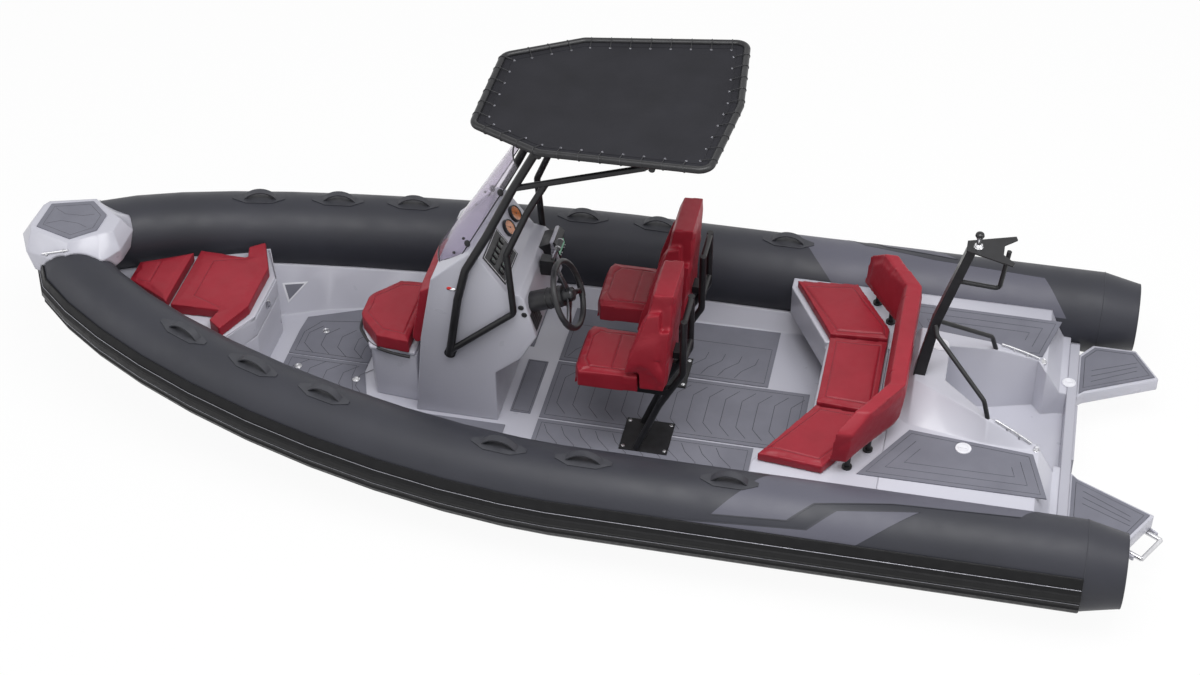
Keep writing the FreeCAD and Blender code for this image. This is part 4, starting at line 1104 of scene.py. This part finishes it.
gaugeRims, gaugeFaces, gaugeNeedles = [], [], []
for number, (x, y) in enumerate(helmPlan["gauges"]):
    radius = helmPlan["gaugeRadius"]
    middle = dashPoint(x, y, helmPlan["gaugeProud"])
    gaugeRims.append(ringPiece("gaugeRim" + str(number), middle + dash * 0.0005, dash, radius - 0.004,
                               0.0046, 48, 10))
    gaugeFaces.append(dashRod("gaugeFace" + str(number), middle, -0.001, 0.0012, radius - 0.008, 48))
    for tick in range(9):
        turn = math.radians(220 - tick * 32)
        ray = dashUp * math.sin(turn) - across * math.cos(turn)
        start = middle + dash * 0.0014
        gaugeNeedles.append(rod("tick", start + ray * 0.027, start + ray * 0.034, 0.0009, 6))
    ray = (dashUp * 0.8 + across * 0.6).normalized()
    start = middle + dash * 0.0022
    gaugeNeedles.append(rod("needle", start - ray * 0.006, start + ray * 0.028, 0.0012, 8, 0.0004))
    gaugeNeedles.append(dashRod("needleHub", middle, 0.0010, 0.0040, 0.0042, 16))
fitted("gaugeRims", gaugeRims, blackGloss)
fitted("gaugeFaces", gaugeFaces, gaugeFace)
fitted("gaugeNeedles", gaugeNeedles, blackPlastic)

switchParts, switchLights = [], []
for row in range(2):
    for place in range(5):
        x, y = (start + step * count for start, step, count in
                zip(helmPlan["switchStart"], helmPlan["switchStep"], (row, place)))
        middle = dashPoint(x, y, 0.005)
        corners = [middle + across * a + dashUp * b
                   for a, b in ((-0.014, -0.018), (0.014, -0.018), (0.014, 0.018), (-0.014, 0.018))]
        switchParts.append(rounded(plate("switch", corners, dash * 0.006), 0.002, 2))
        switchLights.append(dashRod("switchLight", middle + dashUp * 0.010, 0.0058, 0.0066, 0.0020, 12))
fitted("switches", switchParts, blackGloss)
fitted("switchLights", switchLights, displayGlow)
frameCorners = ((0.383, 0.014), (0.383, 0.256), (0.486, 0.256), (0.486, 0.014))
frameLine = [dashPoint(x, y, 0.0048) for x, y in frameCorners]
switchBorder = tube("switchBorder", frameLine, 0.0016, closed=True, straight=True)
dressed(switchBorder, seamLine)

# the display on its raised housing, starboard of the wheel
displayPlan = {"low": (0.184, 0.872), "high": (0.218, 0.992), "back": (0.238, 0.986), "foot": (0.236, 0.872),
               "across": (-0.262, -0.120)}
near, far = displayPlan["across"]
screenLow, screenHigh = (Vector((x, (near + far) / 2, z)) for x, z in (displayPlan["low"], displayPlan["high"]))
screenMiddle = (screenLow + screenHigh) / 2
screenAlong = (screenHigh - screenLow).normalized()
screenFace = screenAlong.cross(across).normalized()
profile = [displayPlan[key] for key in ("low", "high", "back", "foot")]
housing = plate("displayHousing", [(x, near, z) for x, z in profile], (0, far - near, 0))
dressed(rounded(housing, 0.006, 3), gelcoatDeck)


def screenPlate(name, half, low, high, proud, push):
    corners = [screenMiddle + screenFace * proud + across * a + screenAlong * b
               for a, b in ((-half, low), (half, low), (half, high), (-half, high))]
    return plate(name, corners, screenFace * push)


bezel = rounded(screenPlate("displayBezel", 0.066, -0.056, 0.056, 0.0002, 0.003), 0.0015, 2)
dressed(bezel, blackGloss)
dressed(screenPlate("displayGlass", 0.056, -0.038, 0.046, 0.0030, 0.0008), displayGlow)
knobRow = screenMiddle + screenAlong * -0.047
knobs = []
for y in (-0.045, -0.022, 0.022, 0.045):
    foot = knobRow + screenFace * 0.001 + across * y
    knobs.append(rounded(rod("knob", foot, foot + screenFace * 0.006, 0.0035, 16), 0.001, 2))
fitted("displayKnobs", knobs, stainless)

leverSleeve = rod("leverSleeve", (0.1995, -0.030, 0.953), (0.1705, -0.030, 1.029), 0.0102, 20)
dressed(leverSleeve, chrome)
gripEnds = [rod("gripEnd" + str(i), (0.165, y, 1.045), (0.165, y + 0.004, 1.045), 0.0162, 28)
            for i, y in enumerate((-0.064, 0.0005))]
fitted("throttleGripEnds", gripEnds, stainless)
plateCorners = [(0.193, y, z) for y, z in ((-0.063, 0.858), (0.003, 0.858), (0.003, 0.952), (-0.063, 0.952))]
throttlePlate = rounded(plate("throttlePlate", plateCorners, (-0.0055, 0, 0)), 0.002, 2)
dressed(throttlePlate, blackGloss)

# console: vents, light, windshield trim, seat rail

print("console details")
louvrePlan = {"low": (0.214, 0, 0.688), "high": (0.272, 0, 0.920), "slats": 6, "start": (0.026, 0.160),
              "step": (0.018, 0.004), "slat": (0.105, 0.012)}
kneeLow = Vector(louvrePlan["low"])
kneeAlong = (Vector(louvrePlan["high"]) - kneeLow).normalized()
kneeOut = kneeAlong.cross(across)


def onKnee(up, y):
    return kneeLow + kneeAlong * up + across * y


slats = []
for number in range(louvrePlan["slats"]):
    up, y = (start + step * number for start, step in zip(louvrePlan["start"], louvrePlan["step"]))
    wide, high = louvrePlan["slat"]
    corners = [onKnee(up, y), onKnee(up, y + wide), onKnee(up + high, y + wide), onKnee(up + high, y)]
    slats.append(rounded(plate("slat", corners, kneeOut * 0.0045), 0.0012, 2))
back = [onKnee(up, y) for up, y in ((0.020, 0.152), (0.020, 0.276), (0.136, 0.290), (0.136, 0.172))]
slats.append(plate("louvreBack", back, kneeOut * 0.0015))
fitted("louvre", slats, blackPlastic)
ovals = []
for number, (x, z) in enumerate(((0.290, 0.872), (0.274, 0.828))):
    spot = Vector((x, 0.300, z))
    oval = rod("sideFitting" + str(number), spot, spot + Vector((0, 0.004, 0)), 0.015, 32)
    ovals.append(rounded(oval, 0.0015, 2))
    ovals.append(ringPiece("fittingRing", spot + Vector((0, 0.004, 0)), (0, 1, 0), 0.0105, 0.0016, 32, 8))
fitted("sideFittings", ovals, blackPlastic)
# side lights: red to port, green to starboard
for side, word, lens in ((1, "", lensRed), (-1, "Starboard", lensGreen)):
    base = ball("navLightBase" + word, (0.651, side * 0.286, 0.931), 0.026, (1.5, 0.75, 0.55))
    dressed(base, chrome, smooth=60)
    glass = ball("navLightLens" + word, (0.662, side * 0.292, 0.937), 0.017, (1.1, 0.8, 0.8))
    dressed(glass, lens, smooth=60)

shieldPlan = {"low": (0.790, 0.980), "rise": (-0.420, 0.690), "halves": (0.265, 0.2385, 0.2067),
              "sweep": (0.110, -0.045), "trim": 0.0034}


def shieldPoint(height, share, proud):
    # height 0 to 2 up the shield, share -1 to 1 round its arc
    plan = shieldPlan
    up = height / 2
    low = min(int(height), 1)
    half = plan["halves"][low] + (plan["halves"][low + 1] - plan["halves"][low]) * (height - low)
    sweep = plan["sweep"][0] + plan["sweep"][1] * up
    radius = (half * half + sweep * sweep) / (2 * sweep)
    turn = share * math.asin(half / radius)
    x = plan["low"][0] + plan["rise"][0] * up - radius * (1 - math.cos(turn))
    z = plan["low"][1] + plan["rise"][1] * up
    return Vector((x + proud * math.cos(turn), (radius + proud) * math.sin(turn), z + proud * 0.4))


trimRuns = []
for name, height, proud in (("Top", 2.0, 0.000), ("Low", 0.04, 0.001)):
    run = [shieldPoint(height, -1 + 2 * i / 40, proud) for i in range(41)]
    trimRuns.append(tube("shieldTrim" + name, run, shieldPlan["trim"], sides=2, straight=True))
for side in (-1, 1):
    run = [shieldPoint(0.04 + 1.96 * i / 24, side, 0) for i in range(25)]
    trimRuns.append(tube("shieldTrimSide", run, shieldPlan["trim"], sides=2, straight=True))
fitted("shieldTrim", trimRuns, blackPlastic, smooth=50)
clips = []
for side in (-1, 1):
    for height, share in ((0.62, 0.97), (1.55, 0.97)):
        spot = shieldPoint(height, share * side, 0.002)
        clips.append(ball("shieldFitting", spot, 0.016, (1.0, 0.5, 1.4)))
    for height in (0.35, 0.62):
        clips.append(ball("shieldClip", shieldPoint(height, 0.80 * side, 0.003), 0.0085, (1, 0.8, 1)))
fitted("shieldFittings", clips, blackPlastic, smooth=60)

railCorners = mirrored([(0.912, 0.268), (1.104, 0.253), (1.222, 0.118), (1.243, 0.060)])
rail = tube("frontSeatRail", [(x, y, 0.412) for x, y in railCorners], 0.0085, sides=3)
dressed(rail, blackPlastic, "console_seat_lid", smooth=50)

# frame bolts and feet

print("bolts and feet")


def upright(name, place, low, high, radius, sides):
    # an upright rod from low to high over a place
    x, y, z = place
    return rod(name, (x, y, z + low), (x, y, z + high), radius, sides)


bolts = []
for side in (-1, 1):
    for x in (-0.470, -0.250):
        for y in (-0.100, 0.100):
            place = (x, side * helmY + y, 0.092)
            bolts.append(rounded(upright("bolt", place, -0.002, 0.0035, 0.007, 6), 0.0008, 1))
            bolts.append(upright("washer", place, -0.001, 0.0010, 0.0105, 20))
fitted("frameBolts", bolts, stainless, smooth=30)

# stern, mast and bow fittings

print("deck fittings")


def surfaceOf(node):
    mesh, turn = nodes[node].data, nodes[node].matrix_world
    corners = [turn @ v.co for v in mesh.vertices]
    return BVHTree.FromPolygons(corners, [tuple(p.vertices) for p in mesh.polygons])


def topOf(node, x, y):
    # height of a node's upper surface at a place
    hit = surfaceOf(node).ray_cast(Vector((x, y, 5)), Vector((0, 0, -1)))
    return hit[0].z if hit[0] else 0.0


def cleat(name, start, end, node):
    # a low rail cleat on two feet
    first, last = (Vector((x, y, topOf(node, x, y) + 0.017)) for x, y in (start, end))
    tip = (last - first).normalized() * 0.004
    drop = Vector((0, 0, 0.004))
    bar = [first - tip - drop, first.lerp(last, 0.12), first.lerp(last, 0.88), last + tip - drop]
    pieces = [tube(name + "Bar", bar, 0.0055)]
    for share in (0.32, 0.68):
        foot = first.lerp(last, share)
        ground = topOf(node, foot.x, foot.y)
        pieces.append(rod(name + "Foot", (foot.x, foot.y, ground - 0.002), foot, 0.010, 20, 0.006))
    return pieces


def eyeBolt(name, place, node):
    x, y = place
    ground = topOf(node, x, y)
    ring = ringPiece(name, (x, y, ground + 0.010), (0.3, 1, 0), 0.013, 0.0035, 32, 8)
    foot = upright(name + "Foot", (x, y, ground), -0.001, 0.004, 0.017, 28)
    return [ring, rounded(foot, 0.0012, 2)]


steel = cleat("cleatPort", (-2.131, 0.283), (-2.314, 0.330), "stern_deck")
steel += cleat("cleatStarboard", (-2.120, -0.312), (-2.312, -0.335), "stern_deck")
steel += eyeBolt("eyePort", (-2.345, 0.345), "stern_deck")
steel += eyeBolt("eyeStarboard", (-2.340, -0.335), "stern_deck")
fitted("sternSteel", steel, stainless, smooth=50)

capPlan = {"height": 0.006, "drain": (-2.445, -0.372)}
# place, height of what it stands on, radius, and its rings as shares of the radius
caps = {
    "fillerCap": ((-1.989, 0.412), sternTop, 0.040, (0.62,)),
    "fillerCapStarboard": ((-1.989, -0.412), sternTop, 0.040, (0.62,)),
    "deckPlug": ((-1.804, -0.232), topOf("stern_deck", -1.804, -0.232), 0.046, (0.78, 0.40)),
    "drainCap": ((-2.487, -0.372), topOf("stern_deck", *capPlan["drain"]), 0.036, (0.82, 0.56, 0.30)),
}
for name, ((x, y), ground, radius, rings) in caps.items():
    capTop = ground + capPlan["height"]
    cap = upright(name, (x, y, ground), -0.002, capPlan["height"], radius, 48)
    pieces = [rounded(cap, 0.002, 3)]
    for ring in rings:
        pieces.append(ringPiece(name + "Ring", (x, y, capTop), (0, 0, 1), radius * ring, 0.0018, 48, 8))
    grip = [(x + side * radius * 0.45, y, capTop + 0.001) for side in (-1, 1)]
    pieces.append(rod(name + "Grip", *grip, 0.0032, 12))
    fitted(name, pieces, capPlastic, smooth=50)

bollardX = -1.935
bollard = [upright("bollardNeck", (bollardX, 0, 1.385), 0, 0.055, 0.0125, 32),
           ringPiece("bollardRing", (bollardX, 0, 1.388), (0, 0, 1), 0.0165, 0.004, 40, 8)]
fitted("bollardSteel", bollard, chrome, smooth=50)
knob = [ball("knobTop", (bollardX, 0, 1.452), 0.0215, (1, 1, 0.62)),
        ringPiece("knobLip", (bollardX, 0, 1.446), (0, 0, 1), 0.0185, 0.0045, 40, 8)]
fitted("bollardKnob", knob, blackGloss, smooth=60)

bowSteel = []
fairlead = {"y": 0.225, "feet": (2.905, 2.800), "bar": (2.775, 2.850, 2.930)}
for side in (1, -1):
    y = side * fairlead["y"]
    for x in fairlead["feet"]:
        ground = topOf("bow_step", x, y)
        foot = upright("fairleadFoot", (x, y, ground), -0.004, 0.010, 0.009, 20)
        bowSteel.append(rounded(foot, 0.001, 1))
    aft, middle, fore = fairlead["bar"]
    aftHeight, foreHeight = (topOf("bow_step", x, y) + 0.012 for x in (aft, fore))
    crown = (middle, side * 0.228, (aftHeight + foreHeight) / 2 + 0.002)
    bowSteel.append(tube("fairlead", [(aft, y, aftHeight), crown, (fore, y, foreHeight)], 0.0055))
fitted("bowFairleads", bowSteel, stainless, smooth=50)

latchFace = [(1.783, y, z) for y, z in ((-0.016, 0.392), (0.016, 0.392), (0.016, 0.446), (-0.016, 0.446))]
latchBar = [(x, 0.0, z) for x, z in ((1.778, 0.440), (1.771, 0.432), (1.770, 0.408), (1.777, 0.398))]
latch = [rounded(plate("latchPlate", latchFace, (-0.004, 0, 0)), 0.0015, 2), tube("latchBar", latchBar, 0.004)]
fitted("lockerLatch", latch, stainless, smooth=50)

# the three-cornered pockets in the liner, aft of the bow locker: not cut in, but a rimmed plate on the liner
# whose dark foam-coloured floor is both the pocket's foam pad and painted shade for the recess
pocketPlan = {"corners": [(1.850, -0.390, 0.245), (1.716, -0.443, 0.238), (1.815, -0.358, 0.137)],
              "out": (-0.34, 0.83, 0.44), "border": 0.24}
pocketOut = Vector(pocketPlan["out"]).normalized()
linerSurface = surfaceOf("cockpit_liner")
pocketLine = [linerSurface.ray_cast(Vector(corner) + pocketOut * 0.08, -pocketOut)[0]
              for corner in pocketPlan["corners"]]
pocketMiddle = sum(pocketLine, Vector()) / 3
for name, shrink, push, finish in (("pocketEdge", 0.0, 0.003, seamLine),
                                   ("pocketFloorAndShade", pocketPlan["border"], 0.004, deckFoam)):
    line = [corner.lerp(pocketMiddle, shrink) - pocketOut * 0.001 for corner in pocketLine]
    pocket = rounded(plate(name + "Starboard", line, pocketOut * push), 0.001, 2)
    twin = copied(pocket, name + "Port", mirror=True)
    for piece in (pocket, twin):
        dressed(piece, finish)

floorSteel = []
for x, y in ((1.555, -0.222), (1.613, 0.097), (1.270, 0.139)):
    height = topOf("deck_pads", x, y) or topOf("cockpit_liner", x, y)
    base = upright("deckRing", (x, y, height), -0.001, 0.003, 0.021, 32)
    floorSteel.append(rounded(base, 0.001, 2))
    floorSteel.append(ringPiece("deckRingLip", (x, y, height + 0.003), (0, 0, 1), 0.014, 0.0018, 32, 8))
fitted("deckRings", floorSteel, stainless, smooth=50)
